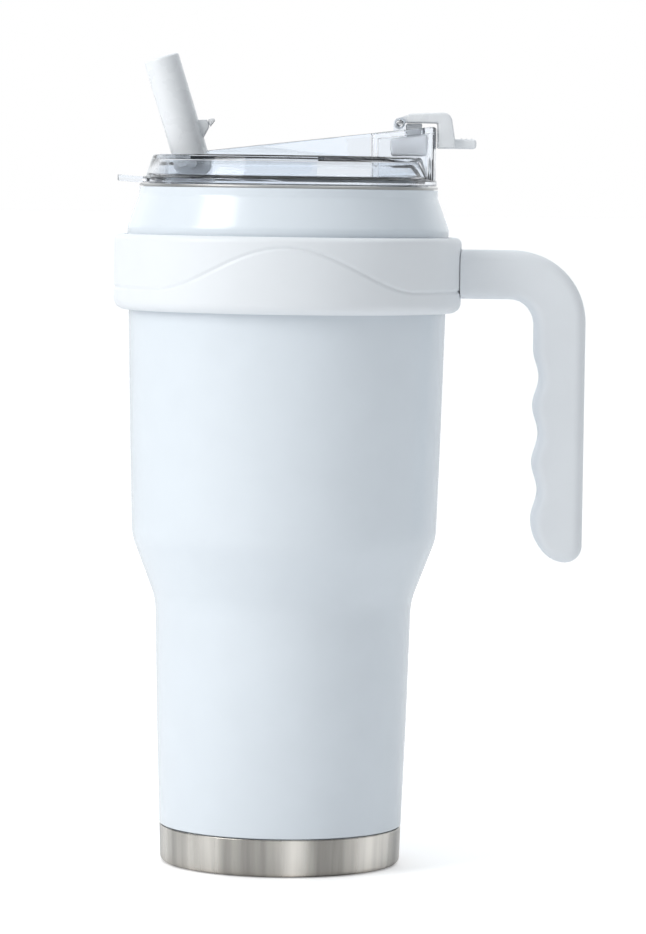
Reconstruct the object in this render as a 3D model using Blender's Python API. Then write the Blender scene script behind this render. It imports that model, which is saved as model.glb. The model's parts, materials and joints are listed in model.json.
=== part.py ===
"""An insulated steel tumbler: double-wall cup, slide-on ring handle and a clear press-in lid.

Metres, +Z up. The origin is the centre of the base, the cup's axis is Z and the handle points
along +X. The lid carries a flip-up straw spout on the -X side and a flip-open sip cap on +X.
"""

import math

import bmesh
import bpy
from mathutils import Matrix, Vector

# General
SEGMENTS = 44
GAP = 0.0003
CUT_MARGIN = 0.0020
FULL_TURN = 2 * math.pi

# Outer wall: radii at the named heights
COAT_LOW_Z = 0.0120
COAT_LOW_RADIUS = 0.03915
BASE_RADIUS = 0.0387
LOWER_MID_RADIUS, LOWER_MID_Z = 0.0403, 0.0460
LOWER_KNEE_RADIUS, LOWER_KNEE_Z, LOWER_KNEE_FILLET = 0.04126, 0.0850, 0.0220
UPPER_KNEE_RADIUS, UPPER_KNEE_Z, UPPER_KNEE_FILLET = 0.04903, 0.1055, 0.0160
UPPER_MID_RADIUS, UPPER_MID_Z = 0.0499, 0.1335
SHOULDER_RADIUS, SHOULDER_Z, SHOULDER_FILLET = 0.0517, 0.2050, 0.0040
NECK_RADIUS, NECK_Z, NECK_FILLET = 0.0480, 0.2150, 0.0030
RIM_Z = 0.2186
OUTER_THICKNESS = 0.0010
OUTER_FLOOR_Z = 0.0032

# Inner liner
LINER_THICKNESS = 0.0008
LINER_INSET = 0.0040
LINER_FLOOR_Z = 0.0078
LINER_FLOOR_FILLET = 0.0060
LIP_THICKNESS = 0.0007

# Bare steel base cup
BASE_CORNER = 0.0018
BASE_PLATE = 0.0009
BASE_RECESS = 0.0007
BASE_PAD_RADIUS = 0.0160
BASE_FOOT_INNER = 0.0335

# Ring handle
RING_RADIUS = 0.0559
RING_LOW_Z, RING_TOP_Z = 0.1783, 0.2025
RING_LOW_EDGE, RING_TOP_EDGE = 0.0028, 0.0020
RING_WALL = 0.0031
SLEEVE_INSET = 0.0012
ARM_TOP_Z, ARM_UNDER_Z = 0.1988, 0.1831
ARM_INNER_X, ARM_OUTER_X = 0.0797, 0.0959
ARM_OUTER_BEND, ARM_INNER_BEND = 0.0230, 0.0085
ARM_ROOT_X = RING_RADIUS - 0.0040
ARM_END_Z = 0.0987
ARM_HEEL = 0.0054
ARM_HALF_WIDTH = 0.0100
ARM_EDGE = 0.0028
FINGER_DEPTH = 0.0019
FINGER_PITCH = 0.01835
FINGER_LOW_Z = 0.1120
FINGER_COUNT = 3
SCREW_SHANK_RADIUS = 0.0013
SCREW_HEAD_RADIUS = 0.0026
SCREW_HEAD_HEIGHT = 0.0012
SCREW_LENGTH = 0.0080
SCREW_SPACING = 0.0086

# Clear lid
FLANGE_RADIUS = 0.0476
FLANGE_THICKNESS = 0.0020
COLLAR_LOW_RADIUS, COLLAR_TOP_RADIUS = 0.0460, 0.0437
DECK_Z = 0.2280
DECK_THICKNESS = 0.0020
SKIRT_RADIUS = 0.0450
SKIRT_INNER = 0.0414
SKIRT_LOW_Z = 0.2090
GROOVE_RADIUS = 0.0432
GROOVE_LOW_Z, GROOVE_TOP_Z = 0.2108, 0.2162
SEAL_LIP_DEPTH = 0.0007
TAB_WIDTH, TAB_THICKNESS = 0.0180, 0.0020
TAB_ROOT_X, TAB_BEND_X = -0.0460, -0.0482
TAB_TIP_X, TAB_TIP_Z = -0.0551, 0.2204
TAB_EDGE = 0.0006

# Ramp over the lid, with the channel that the folded spout lies in
RAMP_START_X, RAMP_START_Z = -0.0265, 0.2293
RAMP_SLOPE = 0.1189
RAMP_HALF_WIDTH = 0.0084
CHANNEL_HALF_WIDTH = 0.0066
CHANNEL_END_X = 0.0270
WELL_START_X, WELL_END_X = -0.0393, 0.0074
WELL_FLOOR_Z = 0.2174
WELL_BEND_X = -0.0240
WELL_END_Z = 0.2223
WELL_WALL = 0.0016
WELL_SIDE_WALL = 0.0026

# Sip tower at the +X end of the ramp
TOWER_START_X = 0.0265
TOWER_RADIUS = 0.0472
TOWER_HALF_WIDTH = 0.0110
TOWER_WALL = 0.0020
TOWER_LOW_Z = 0.2200
SIP_START_X, SIP_END_X = 0.0369, 0.0433
SIP_HALF_WIDTH = 0.0060
SIP_SEAL_START_X, SIP_SEAL_END_X = 0.0324, 0.0442
SIP_SEAL_LOW_Z = 0.2285
SIP_SEAL_HALF_WIDTH = 0.0076

# Sip cap
CAP_PIVOT_X, CAP_PIVOT_Z = 0.0353, 0.2389
CAP_KNUCKLE_RADIUS = 0.0017
CAP_KNUCKLE_HALF_WIDTH = 0.0070
CAP_HALF_WIDTH = 0.0094
CAP_PLATE_START_X = 0.0376
CAP_UNDER_Z, CAP_TOP_Z = 0.2392, 0.2428
CAP_LEG_INNER_X, CAP_LEG_OUTER_X, CAP_LEG_TOP_X = 0.0476, 0.0530, 0.0516
CAP_LOW_Z = 0.2311
CAP_CORNER = 0.0028
CAP_TOP_SLOPE = 0.0007
THUMB_END_X, THUMB_THICKNESS, THUMB_HALF_WIDTH = 0.0599, 0.0030, 0.0070
PIN_RADIUS = 0.0008
PIN_HALF_LENGTH = 0.0092
LUG_RADIUS = 0.0019
PLUG_START_X, PLUG_END_X, PLUG_TAPER = 0.0374, 0.0426, 0.0007
PLUG_LOW_Z = 0.2346
PLUG_HALF_WIDTH = 0.0055

# Flip-up straw spout, modelled upright about its pivot and leant back
SPOUT_PIVOT_X, SPOUT_PIVOT_Z = -0.0310, 0.2255
SPOUT_LEAN = math.radians(17.5)
SPOUT_LENGTH = 0.0352
SPOUT_HALF_DEPTH, SPOUT_HALF_WIDTH = 0.00575, 0.0061
SPOUT_BORE_RADIUS = 0.0036
BARREL_RADIUS = 0.0060
BARREL_HALF_WIDTH = 0.0062
TRUNNION_RADIUS, TRUNNION_HALF_LENGTH = 0.0016, 0.0080
FIN_HALF_WIDTH = 0.0018
FIN_REACH = 0.0084
FIN_LOW, FIN_HIGH, FIN_SINK = 0.0067, 0.0127, 0.0008
VENT_PLUG_HEIGHT = 0.0106
VENT_PLUG_TIP = 0.0108
VENT_PLUG_RADIUS, VENT_PLUG_TIP_RADIUS = 0.0013, 0.0005
VENT_STEM_RADIUS = 0.0006
VENT_HOLE_X, VENT_HOLE_LENGTH, VENT_HOLE_WIDTH = -0.0188, 0.0060, 0.0044
SEAT_START_X, SEAT_END_X, SEAT_TOP_Z = -0.0374, -0.0238, 0.2215
SEAT_STEP_X, SEAT_STEP_Z = -0.0285, 0.2197

# Straw, and the socket under the well that it pushes into
STRAW_X = -0.0285
STRAW_BORE_RADIUS, STRAW_RADIUS = 0.0032, 0.0040
STRAW_LOW_Z = 0.0200
SOCKET_LOW_Z, SOCKET_WALL = 0.2065, 0.0011

# Vacuum fittings
BEAD_RADIUS, BEAD_HEIGHT = 0.0030, 0.0016
GETTER_RADIUS, GETTER_HEIGHT = 0.0070, 0.0012

# Looks: colour, roughness, metallic, alpha
WHITE_COAT = ((0.86, 0.90, 0.93), 0.25, 0.0, 1.0)
WHITE_MOULDING = ((0.82, 0.84, 0.87), 0.45, 0.0, 1.0)
WHITE_GLOSS = ((0.85, 0.88, 0.92), 0.30, 0.0, 1.0)
BRUSHED_STEEL = ((0.62, 0.60, 0.57), 0.30, 1.0, 1.0)
DARK_STEEL = ((0.35, 0.35, 0.36), 0.35, 1.0, 1.0)
CLEAR_PLASTIC = ((0.85, 0.88, 0.93), 0.05, 0.0, 0.35)
FROSTED_STRAW = ((0.90, 0.92, 0.95), 0.30, 0.0, 0.60)
SOFT_SILICONE = ((0.80, 0.82, 0.84), 0.60, 0.0, 1.0)
SEAL_BEAD = ((0.20, 0.20, 0.22), 0.50, 0.0, 1.0)


def clear_scene():
    for obj in list(bpy.data.objects):
        bpy.data.objects.remove(obj, do_unlink=True)


def part_material(name, look):
    colour, roughness, metallic, alpha = look
    material = bpy.data.materials.new(name)
    material.use_nodes = True
    shader = material.node_tree.nodes["Principled BSDF"]
    shader.inputs["Base Color"].default_value = (*colour, 1.0)
    shader.inputs["Roughness"].default_value = roughness
    shader.inputs["Metallic"].default_value = metallic
    shader.inputs["Alpha"].default_value = alpha
    return material


def corner_arc(before, corner, after, radius, steps):
    """The arc that rounds one corner of a path, as points."""
    point = Vector(corner)
    back = (Vector(before) - point).normalized()
    forward = (Vector(after) - point).normalized()
    half = back.angle(forward) / 2
    centre = point + (back + forward).normalized() * radius / math.sin(half)
    start = point + back * radius / math.tan(half) - centre
    end = point + forward * radius / math.tan(half) - centre
    turn = math.atan2(start.x * end.y - start.y * end.x, start.dot(end))
    points = []
    for step in range(steps + 1):
        angle = turn * step / steps
        spoke = Matrix.Rotation(angle, 2) @ start
        points.append(tuple(centre + spoke))
    return points


def rounded(path, closed=False, steps=3):
    """A path of (x, z) or (x, z, radius) points with an arc at each point that has a radius."""
    flat = [point[:2] for point in path]
    points = []
    for index, point in enumerate(path):
        inside = closed or 0 < index < len(path) - 1
        if len(point) == 3 and inside:
            before = flat[index - 1]
            after = flat[(index + 1) % len(flat)]
            points += corner_arc(before, point[:2], after, point[2], steps)
        else:
            points.append(point[:2])
    return points


def mesh_object(name, work):
    """A new object from a bmesh, with its faces turned outwards."""
    bmesh.ops.remove_doubles(work, verts=work.verts, dist=1e-6)
    bmesh.ops.recalc_face_normals(work, faces=work.faces)
    mesh = bpy.data.meshes.new(name)
    work.to_mesh(mesh)
    work.free()
    mesh.shade_smooth()
    mesh.set_sharp_from_angle(angle=math.radians(35))
    obj = bpy.data.objects.new(name, mesh)
    bpy.context.scene.collection.objects.link(obj)
    return obj


def turned(name, outline, closed=False, segments=SEGMENTS):
    """The outline of (radius, z) points spun about Z. An open outline ends on the axis."""
    work = bmesh.new()
    verts = [work.verts.new((radius, 0, z)) for radius, z in outline]
    edges = [work.edges.new(pair) for pair in zip(verts, verts[1:])]
    if closed:
        edges.append(work.edges.new((verts[-1], verts[0])))
    bmesh.ops.spin(
        work,
        geom=verts + edges,
        cent=(0, 0, 0),
        axis=(0, 0, 1),
        angle=FULL_TURN,
        steps=segments,
        use_merge=True,
    )
    return mesh_object(name, work)


def plate(name, outline, half_width, middle=0.0):
    """The outline of (x, z) points extruded along Y, half_width to each side of middle."""
    work = bmesh.new()
    verts = [work.verts.new((x, middle - half_width, z)) for x, z in outline]
    face = work.faces.new(verts)
    grown = bmesh.ops.extrude_face_region(work, geom=[face])
    moved = [item for item in grown["geom"] if isinstance(item, bmesh.types.BMVert)]
    bmesh.ops.translate(work, verts=moved, vec=(0, 2 * half_width, 0))
    return mesh_object(name, work)


def rod(name, start, end, radius, end_radius=None, segments=16):
    """A round bar, or a cone when end_radius is given, between two points."""
    start = Vector(start)
    run = Vector(end) - start
    turn = run.to_track_quat("Z", "Y").to_matrix().to_4x4()
    work = bmesh.new()
    bmesh.ops.create_cone(
        work,
        cap_ends=True,
        segments=segments,
        radius1=radius,
        radius2=radius if end_radius is None else end_radius,
        depth=run.length,
        matrix=Matrix.Translation(start + run / 2) @ turn,
    )
    return mesh_object(name, work)


def cross_rod(name, x, z, half_length, radius, segments=16):
    """A round bar along Y."""
    return rod(name, (x, -half_length, z), (x, half_length, z), radius, segments=segments)


def rectangle(x_low, x_high, z_low, z_high):
    return [(x_low, z_low), (x_high, z_low), (x_high, z_high), (x_low, z_high)]


def as_node(obj, look):
    """Gives a finished sub-part its own material."""
    obj.data.materials.append(part_material(obj.name, look))
    return obj


def as_helper(obj):
    obj.hide_render = True
    obj.display_type = "WIRE"


def combine(target, other, operation):
    modifier = target.modifiers.new(other.name, "BOOLEAN")
    modifier.operation = operation
    modifier.object = other
    as_helper(other)


def add(target, *others):
    for other in others:
        combine(target, other, "UNION")


def cut(target, *others):
    for other in others:
        combine(target, other, "DIFFERENCE")


def round_edges(obj, width, segments=2, angle=50):
    modifier = obj.modifiers.new("round_edges", "BEVEL")
    modifier.width = width
    modifier.segments = segments
    modifier.limit_method = "ANGLE"
    modifier.angle_limit = math.radians(angle)


def joint_empty(name, x, z):
    """An empty on a joint's axis, which the moving pieces are parented to."""
    empty = bpy.data.objects.new(name, None)
    empty.location = (x, 0, z)
    bpy.context.scene.collection.objects.link(empty)
    return empty


def hang(empty, *pieces):
    """Parents pieces that were modelled in place."""
    for piece in pieces:
        piece.parent = empty
        piece.matrix_parent_inverse = Matrix.Translation(-empty.location)


def wall_path(offset):
    """The cup's outer profile above the coating's lower edge, moved inwards by offset."""
    return [
        (COAT_LOW_RADIUS - offset, COAT_LOW_Z + GAP),
        (LOWER_MID_RADIUS - offset, LOWER_MID_Z),
        (LOWER_KNEE_RADIUS - offset, LOWER_KNEE_Z, LOWER_KNEE_FILLET),
        (UPPER_KNEE_RADIUS - offset, UPPER_KNEE_Z, UPPER_KNEE_FILLET),
        (UPPER_MID_RADIUS - offset, UPPER_MID_Z),
        (SHOULDER_RADIUS - offset, SHOULDER_Z, SHOULDER_FILLET),
        (NECK_RADIUS - offset, NECK_Z, NECK_FILLET),
        (NECK_RADIUS - offset, RIM_Z - LIP_THICKNESS - GAP),
    ]


def outer_wall():
    """The coated outer wall: a thin cup whose foot is stepped in to take the base cup."""
    foot_radius = COAT_LOW_RADIUS - OUTER_THICKNESS - GAP
    floor_z = OUTER_FLOOR_Z
    outside = [(0, floor_z), (foot_radius, floor_z), (foot_radius, COAT_LOW_Z + GAP)]
    inside = wall_path(OUTER_THICKNESS)[1:]
    inside.reverse()
    inner_foot = foot_radius - OUTER_THICKNESS
    inside += [(inner_foot, COAT_LOW_Z), (inner_foot, floor_z + OUTER_THICKNESS)]
    inside.append((0, floor_z + OUTER_THICKNESS))
    outline = outside + rounded(wall_path(0)) + rounded(inside)
    return as_node(turned("outer_wall", outline), WHITE_COAT)


def liner_path(offset):
    """The liner's inner surface from the neck down to the floor, moved outwards by offset."""
    inset = LINER_INSET - offset
    neck = NECK_RADIUS - OUTER_THICKNESS - GAP - LINER_THICKNESS + offset
    return [
        (neck, RIM_Z),
        (neck, SHOULDER_Z),
        (UPPER_MID_RADIUS - inset, UPPER_MID_Z),
        (UPPER_KNEE_RADIUS - inset, UPPER_KNEE_Z, UPPER_KNEE_FILLET),
        (LOWER_KNEE_RADIUS - inset, LOWER_KNEE_Z, LOWER_KNEE_FILLET),
        (LOWER_MID_RADIUS - inset, LOWER_MID_Z),
        (COAT_LOW_RADIUS - inset, LINER_FLOOR_Z - offset, LINER_FLOOR_FILLET + offset),
        (0, LINER_FLOOR_Z - offset),
    ]


def inner_liner():
    """The bare steel liner. Its lip folds over the top of the outer wall."""
    inside = rounded(liner_path(0))
    inside.reverse()
    outside = rounded(liner_path(LINER_THICKNESS))
    lip_low = RIM_Z - LIP_THICKNESS
    lip = [(NECK_RADIUS, RIM_Z), (NECK_RADIUS, lip_low), (outside[0][0], lip_low)]
    outline = inside + lip + outside[1:]
    return as_node(turned("inner_liner", outline), BRUSHED_STEEL)


def base_cup():
    """The bare brushed cup pressed over the foot, with a recessed band in its underside."""
    inner_radius = COAT_LOW_RADIUS - OUTER_THICKNESS
    slope = 2 * BASE_RECESS
    outside = rounded(
        [
            (BASE_FOOT_INNER, 0),
            (BASE_RADIUS, 0, BASE_CORNER),
            (COAT_LOW_RADIUS, COAT_LOW_Z),
            (inner_radius, COAT_LOW_Z),
        ]
    )
    underside = [
        (0, 0),
        (BASE_PAD_RADIUS, 0),
        (BASE_PAD_RADIUS + slope, BASE_RECESS),
        (BASE_FOOT_INNER - slope, BASE_RECESS),
    ]
    inside = [
        (inner_radius, BASE_RECESS + BASE_PLATE),
        (BASE_PAD_RADIUS, BASE_RECESS + BASE_PLATE),
        (BASE_PAD_RADIUS - slope, BASE_PLATE),
        (0, BASE_PLATE),
    ]
    outline = underside + outside + inside
    return as_node(turned("base_cup", outline), BRUSHED_STEEL)


def vacuum_fittings():
    """The bead that seals the pumping hole, below the floor, and the getter above it."""
    bead_top = OUTER_FLOOR_Z - GAP
    bead_low = bead_top - BEAD_HEIGHT
    bead = rod("vacuum_seal_bead", (0, 0, bead_low), (0, 0, bead_top), BEAD_RADIUS)
    getter_low = OUTER_FLOOR_Z + OUTER_THICKNESS + GAP
    getter_top = getter_low + GETTER_HEIGHT
    getter = rod("vacuum_getter", (0, 0, getter_low), (0, 0, getter_top), GETTER_RADIUS)
    as_node(bead, SEAL_BEAD)
    as_node(getter, DARK_STEEL)


def wall_radius(z):
    """The outer wall's radius between its middle and its shoulder."""
    share = (z - UPPER_MID_Z) / (SHOULDER_Z - UPPER_MID_Z)
    return UPPER_MID_RADIUS + share * (SHOULDER_RADIUS - UPPER_MID_RADIUS)


def handle_ring(screws):
    """The band round the cup, with two counterbored holes for the arm's screws."""
    inner = RING_RADIUS - RING_WALL
    outline = rounded(
        [
            (inner, RING_LOW_Z),
            (RING_RADIUS, RING_LOW_Z, RING_LOW_EDGE),
            (RING_RADIUS, RING_TOP_Z, RING_TOP_EDGE),
            (inner, RING_TOP_Z),
        ],
        closed=True,
    )
    ring = as_node(turned("handle_ring", outline, closed=True), WHITE_MOULDING)
    for number, z in screws:
        start = (inner - CUT_MARGIN, 0, z)
        end = (RING_RADIUS + CUT_MARGIN, 0, z)
        seat_end = (inner + GAP + SCREW_HEAD_HEIGHT + GAP, 0, z)
        hole = SCREW_SHANK_RADIUS + GAP
        cut(ring, rod(f"ring_hole_{number}", start, end, hole, segments=12))
        cut(ring, rod(f"ring_seat_{number}", start, seat_end, SCREW_HEAD_RADIUS + GAP))
    return ring


def ring_sleeve():
    """The soft sleeve inside the band, tapered to wedge on the cup."""
    low_z = RING_LOW_Z + SLEEVE_INSET
    top_z = RING_TOP_Z - SLEEVE_INSET
    outer = RING_RADIUS - RING_WALL - GAP
    outline = [
        (wall_radius(low_z) + GAP, low_z),
        (outer, low_z),
        (outer, top_z),
        (wall_radius(top_z) + GAP, top_z),
    ]
    return as_node(turned("ring_sleeve", outline, closed=True), SOFT_SILICONE)


def finger_side():
    """The waved inner edge of the grip, from its lowest ridge to its highest."""
    steps = 8 * FINGER_COUNT
    points = []
    for step in range(steps + 1):
        rise = step * FINGER_COUNT * FINGER_PITCH / steps
        wave = (1 - math.cos(FULL_TURN * rise / FINGER_PITCH)) / 2
        points.append((ARM_INNER_X + FINGER_DEPTH * wave, FINGER_LOW_Z + rise))
    return points


def arm_toe():
    """The elliptical end of the grip, from its lowest point to the first finger ridge."""
    width = ARM_OUTER_X - ARM_HEEL - ARM_INNER_X
    height = FINGER_LOW_Z - ARM_END_Z
    steps = 6
    points = []
    for step in range(steps):
        angle = math.pi / 2 * step / steps
        x = ARM_INNER_X + width * (1 - math.sin(angle))
        z = ARM_END_Z + height * (1 - math.cos(angle))
        points.append((x, z))
    return points


def handle_arm(screws):
    """The open J-shaped grip, with its root shaped to the band."""
    outside = rounded(
        [
            (ARM_INNER_X, ARM_UNDER_Z),
            (ARM_ROOT_X, ARM_UNDER_Z),
            (ARM_ROOT_X, ARM_TOP_Z),
            (ARM_OUTER_X, ARM_TOP_Z, ARM_OUTER_BEND),
            (ARM_OUTER_X, ARM_END_Z, ARM_HEEL),
            (ARM_INNER_X, ARM_END_Z),
        ],
        steps=6,
    )[1:-1]
    inner_bend = corner_arc(
        (ARM_INNER_X, FINGER_LOW_Z),
        (ARM_INNER_X, ARM_UNDER_Z),
        (ARM_ROOT_X, ARM_UNDER_Z),
        ARM_INNER_BEND,
        5,
    )
    outline = outside + arm_toe()[1:] + finger_side() + inner_bend
    arm = as_node(plate("handle_arm", outline, ARM_HALF_WIDTH), WHITE_MOULDING)
    round_edges(arm, ARM_EDGE)
    low, high = (0, 0, RING_LOW_Z - CUT_MARGIN), (0, 0, RING_TOP_Z + CUT_MARGIN)
    cut(arm, rod("arm_root_cutter", low, high, RING_RADIUS + GAP, segments=SEGMENTS))
    for number, z in screws:
        end_x = RING_RADIUS - RING_WALL + 2 * GAP + SCREW_HEAD_HEIGHT + SCREW_LENGTH + GAP
        start, end = (ARM_ROOT_X - CUT_MARGIN, 0, z), (end_x, 0, z)
        cut(arm, rod(f"arm_hole_{number}", start, end, SCREW_SHANK_RADIUS + GAP, segments=12))
    return arm


def arm_screw(number, z):
    """A pan-head screw that holds the arm from inside the band."""
    head_x = RING_RADIUS - RING_WALL + GAP
    neck_x = head_x + SCREW_HEAD_HEIGHT
    tip_x = neck_x + SCREW_LENGTH
    head = rod(f"arm_screw_{number}", (head_x, 0, z), (neck_x, 0, z), SCREW_HEAD_RADIUS)
    start = (neck_x - SCREW_HEAD_HEIGHT / 2, 0, z)
    shank = rod(f"shank_{number}", start, (tip_x, 0, z), SCREW_SHANK_RADIUS, segments=12)
    add(head, shank)
    return as_node(head, DARK_STEEL)


def handle():
    middle = (ARM_TOP_Z + ARM_UNDER_Z) / 2
    screws = [(1, middle - SCREW_SPACING / 2), (2, middle + SCREW_SPACING / 2)]
    slide = joint_empty("handle_slide_axis", 0, RING_LOW_Z)
    pieces = [handle_ring(screws), ring_sleeve(), handle_arm(screws)]
    pieces += [arm_screw(number, z) for number, z in screws]
    hang(slide, *pieces)


def ramp_top(x):
    return RAMP_START_Z + RAMP_SLOPE * (x - RAMP_START_X)


def lid_shell():
    """The turned part of the lid: deck, sloping collar, flange and the skirt with its groove."""
    flange_low = RIM_Z + GAP
    flange_top = flange_low + FLANGE_THICKNESS
    outline = rounded(
        [
            (0, DECK_Z),
            (COLLAR_TOP_RADIUS, DECK_Z, 0.0012),
            (COLLAR_LOW_RADIUS, flange_top),
            (FLANGE_RADIUS, flange_top),
            (FLANGE_RADIUS, flange_low),
            (SKIRT_RADIUS, flange_low),
            (SKIRT_RADIUS, GROOVE_TOP_Z),
            (GROOVE_RADIUS, GROOVE_TOP_Z),
            (GROOVE_RADIUS, GROOVE_LOW_Z),
            (SKIRT_RADIUS, GROOVE_LOW_Z),
            (SKIRT_RADIUS, SKIRT_LOW_Z),
            (SKIRT_INNER, SKIRT_LOW_Z),
            (SKIRT_INNER, DECK_Z - DECK_THICKNESS),
            (0, DECK_Z - DECK_THICKNESS),
        ],
        steps=2,
    )
    return turned("lid_body", outline)


def well_block():
    """The walls of the sunken well that the spout's barrel turns in."""
    outline = [
        (WELL_START_X - WELL_WALL, WELL_FLOOR_Z - WELL_WALL),
        (WELL_BEND_X, WELL_FLOOR_Z - WELL_WALL),
        (WELL_END_X + WELL_WALL, WELL_END_Z - WELL_WALL),
        (WELL_END_X + WELL_WALL, DECK_Z - DECK_THICKNESS / 2),
        (WELL_START_X - WELL_WALL, DECK_Z - DECK_THICKNESS / 2),
    ]
    return plate("well_block", outline, CHANNEL_HALF_WIDTH + WELL_SIDE_WALL)


def well_cutter():
    outline = [
        (WELL_START_X, WELL_FLOOR_Z),
        (WELL_BEND_X, WELL_FLOOR_Z),
        (WELL_END_X, WELL_END_Z),
        (WELL_END_X, CAP_TOP_Z),
        (WELL_START_X, CAP_TOP_Z),
    ]
    return plate("well_cutter", outline, CHANNEL_HALF_WIDTH)


def ramp_block():
    """The raised ramp, which the channel splits into two side walls."""
    deck = DECK_Z - DECK_THICKNESS / 2
    end_x = TOWER_START_X + TOWER_WALL / 2
    outline = [
        (RAMP_START_X, deck),
        (end_x, deck),
        (end_x, ramp_top(end_x)),
        (RAMP_START_X, RAMP_START_Z),
    ]
    return plate("ramp_block", outline, RAMP_HALF_WIDTH)


def channel_cutter():
    start_x = WELL_END_X - CUT_MARGIN
    outline = rectangle(start_x, CHANNEL_END_X - TOWER_WALL / 2, DECK_Z, CAP_TOP_Z)
    return plate("channel_cutter", outline, CHANNEL_HALF_WIDTH)


def tower_solid(name, start_x, radius, low_z, drop, half_width):
    """A block under the ramp's line, with its +X side rounded about the cup's axis."""
    end_x = FLANGE_RADIUS + CUT_MARGIN
    outline = [
        (start_x, low_z),
        (end_x, low_z),
        (end_x, ramp_top(end_x) - drop),
        (start_x, ramp_top(start_x) - drop),
    ]
    block = plate(name, outline, half_width)
    low, high = (0, 0, low_z - CUT_MARGIN), (0, 0, CAP_TOP_Z)
    combine(block, rod(f"{name}_round", low, high, radius, segments=SEGMENTS), "INTERSECT")
    return block


def sip_cutter(name):
    return plate(name, rectangle(SIP_START_X, SIP_END_X, DECK_Z, CAP_TOP_Z), SIP_HALF_WIDTH)


def cap_lugs():
    """The two ears that hold the sip cap's pin."""
    half = (CAP_HALF_WIDTH - CAP_KNUCKLE_HALF_WIDTH - GAP) / 2
    lugs = []
    for side in (-1, 1):
        middle = side * (CAP_HALF_WIDTH - half)
        eye = rod(
            f"lug_eye_{side}",
            (CAP_PIVOT_X, middle - half, CAP_PIVOT_Z),
            (CAP_PIVOT_X, middle + half, CAP_PIVOT_Z),
            LUG_RADIUS,
        )
        low_z = ramp_top(CAP_PIVOT_X) - TOWER_WALL / 2
        foot = rectangle(
            CAP_PIVOT_X - LUG_RADIUS, CAP_PIVOT_X + LUG_RADIUS, low_z, CAP_PIVOT_Z
        )
        lugs += [eye, plate(f"lug_foot_{side}", foot, half, middle)]
    return lugs


def lift_tab():
    """The tab at the lid's edge, which a thumb lifts. It rises outwards from the flange."""
    low_z = RIM_Z + GAP
    outline = [
        (TAB_TIP_X, TAB_TIP_Z - TAB_THICKNESS / 2),
        (TAB_BEND_X, low_z),
        (TAB_ROOT_X, low_z),
        (TAB_ROOT_X, low_z + FLANGE_THICKNESS),
        (TAB_BEND_X, low_z + FLANGE_THICKNESS),
        (TAB_TIP_X, TAB_TIP_Z + TAB_THICKNESS / 2),
    ]
    tab = plate("lift_tab", outline, TAB_WIDTH / 2)
    round_edges(tab, TAB_EDGE, segments=1)
    return tab


def add_straw_socket(lid):
    """The socket under the well that takes the straw, and the hole from it into the well."""
    ceiling_z = WELL_FLOOR_Z - WELL_WALL
    bore = STRAW_RADIUS + GAP
    mouth, low = (STRAW_X, 0, SOCKET_LOW_Z - CUT_MARGIN), (STRAW_X, 0, SOCKET_LOW_Z)
    ceiling, high = (STRAW_X, 0, ceiling_z), (STRAW_X, 0, WELL_FLOOR_Z + CUT_MARGIN)
    root = (STRAW_X, 0, ceiling_z + WELL_WALL / 2)
    add(lid, rod("straw_socket", low, root, bore + SOCKET_WALL))
    cut(lid, rod("socket_bore", mouth, ceiling, bore))
    cut(lid, rod("straw_hole", low, high, STRAW_BORE_RADIUS))


def lid_body():
    """The clear moulding that everything on the lid is fitted to."""
    lid = as_node(lid_shell(), CLEAR_PLASTIC)
    tower = tower_solid("tower", TOWER_START_X, TOWER_RADIUS, TOWER_LOW_Z, 0, TOWER_HALF_WIDTH)
    add(lid, lift_tab(), well_block(), ramp_block(), tower, *cap_lugs())
    hollow = tower_solid(
        "tower_hollow",
        TOWER_START_X + TOWER_WALL,
        TOWER_RADIUS - TOWER_WALL,
        TOWER_LOW_Z + TOWER_WALL / 2,
        TOWER_WALL,
        TOWER_HALF_WIDTH - TOWER_WALL,
    )
    trunnion = TRUNNION_RADIUS + GAP
    reach = TRUNNION_HALF_LENGTH + GAP
    pin_reach = CAP_HALF_WIDTH + CUT_MARGIN
    vent_start = VENT_HOLE_X - VENT_HOLE_LENGTH / 2
    vent = rectangle(vent_start, vent_start + VENT_HOLE_LENGTH, SKIRT_LOW_Z, DECK_Z)
    cut(lid, well_cutter(), channel_cutter(), hollow, sip_cutter("sip_hole"))
    cut(lid, cross_rod("trunnion_holes", SPOUT_PIVOT_X, SPOUT_PIVOT_Z, reach, trunnion))
    cut(lid, cross_rod("pin_holes", CAP_PIVOT_X, CAP_PIVOT_Z, pin_reach, PIN_RADIUS + GAP, 12))
    cut(lid, plate("vent_hole", vent, VENT_HOLE_WIDTH / 2))
    add_straw_socket(lid)
    return lid


def lid_seal():
    """The soft ring in the skirt's groove, with two sealing lips."""
    low_z, top_z = GROOVE_LOW_Z + GAP, GROOVE_TOP_Z - GAP
    inner = GROOVE_RADIUS + GAP
    lip = NECK_RADIUS - OUTER_THICKNESS - LINER_THICKNESS - 2 * GAP
    valley = lip - SEAL_LIP_DEPTH
    rise = (top_z - low_z) / 4
    outline = [
        (inner, low_z),
        (valley, low_z),
        (lip, low_z + rise),
        (valley, low_z + 2 * rise),
        (lip, low_z + 3 * rise),
        (valley, top_z),
        (inner, top_z),
    ]
    return as_node(turned("lid_seal", outline, closed=True), SOFT_SILICONE)


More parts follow.
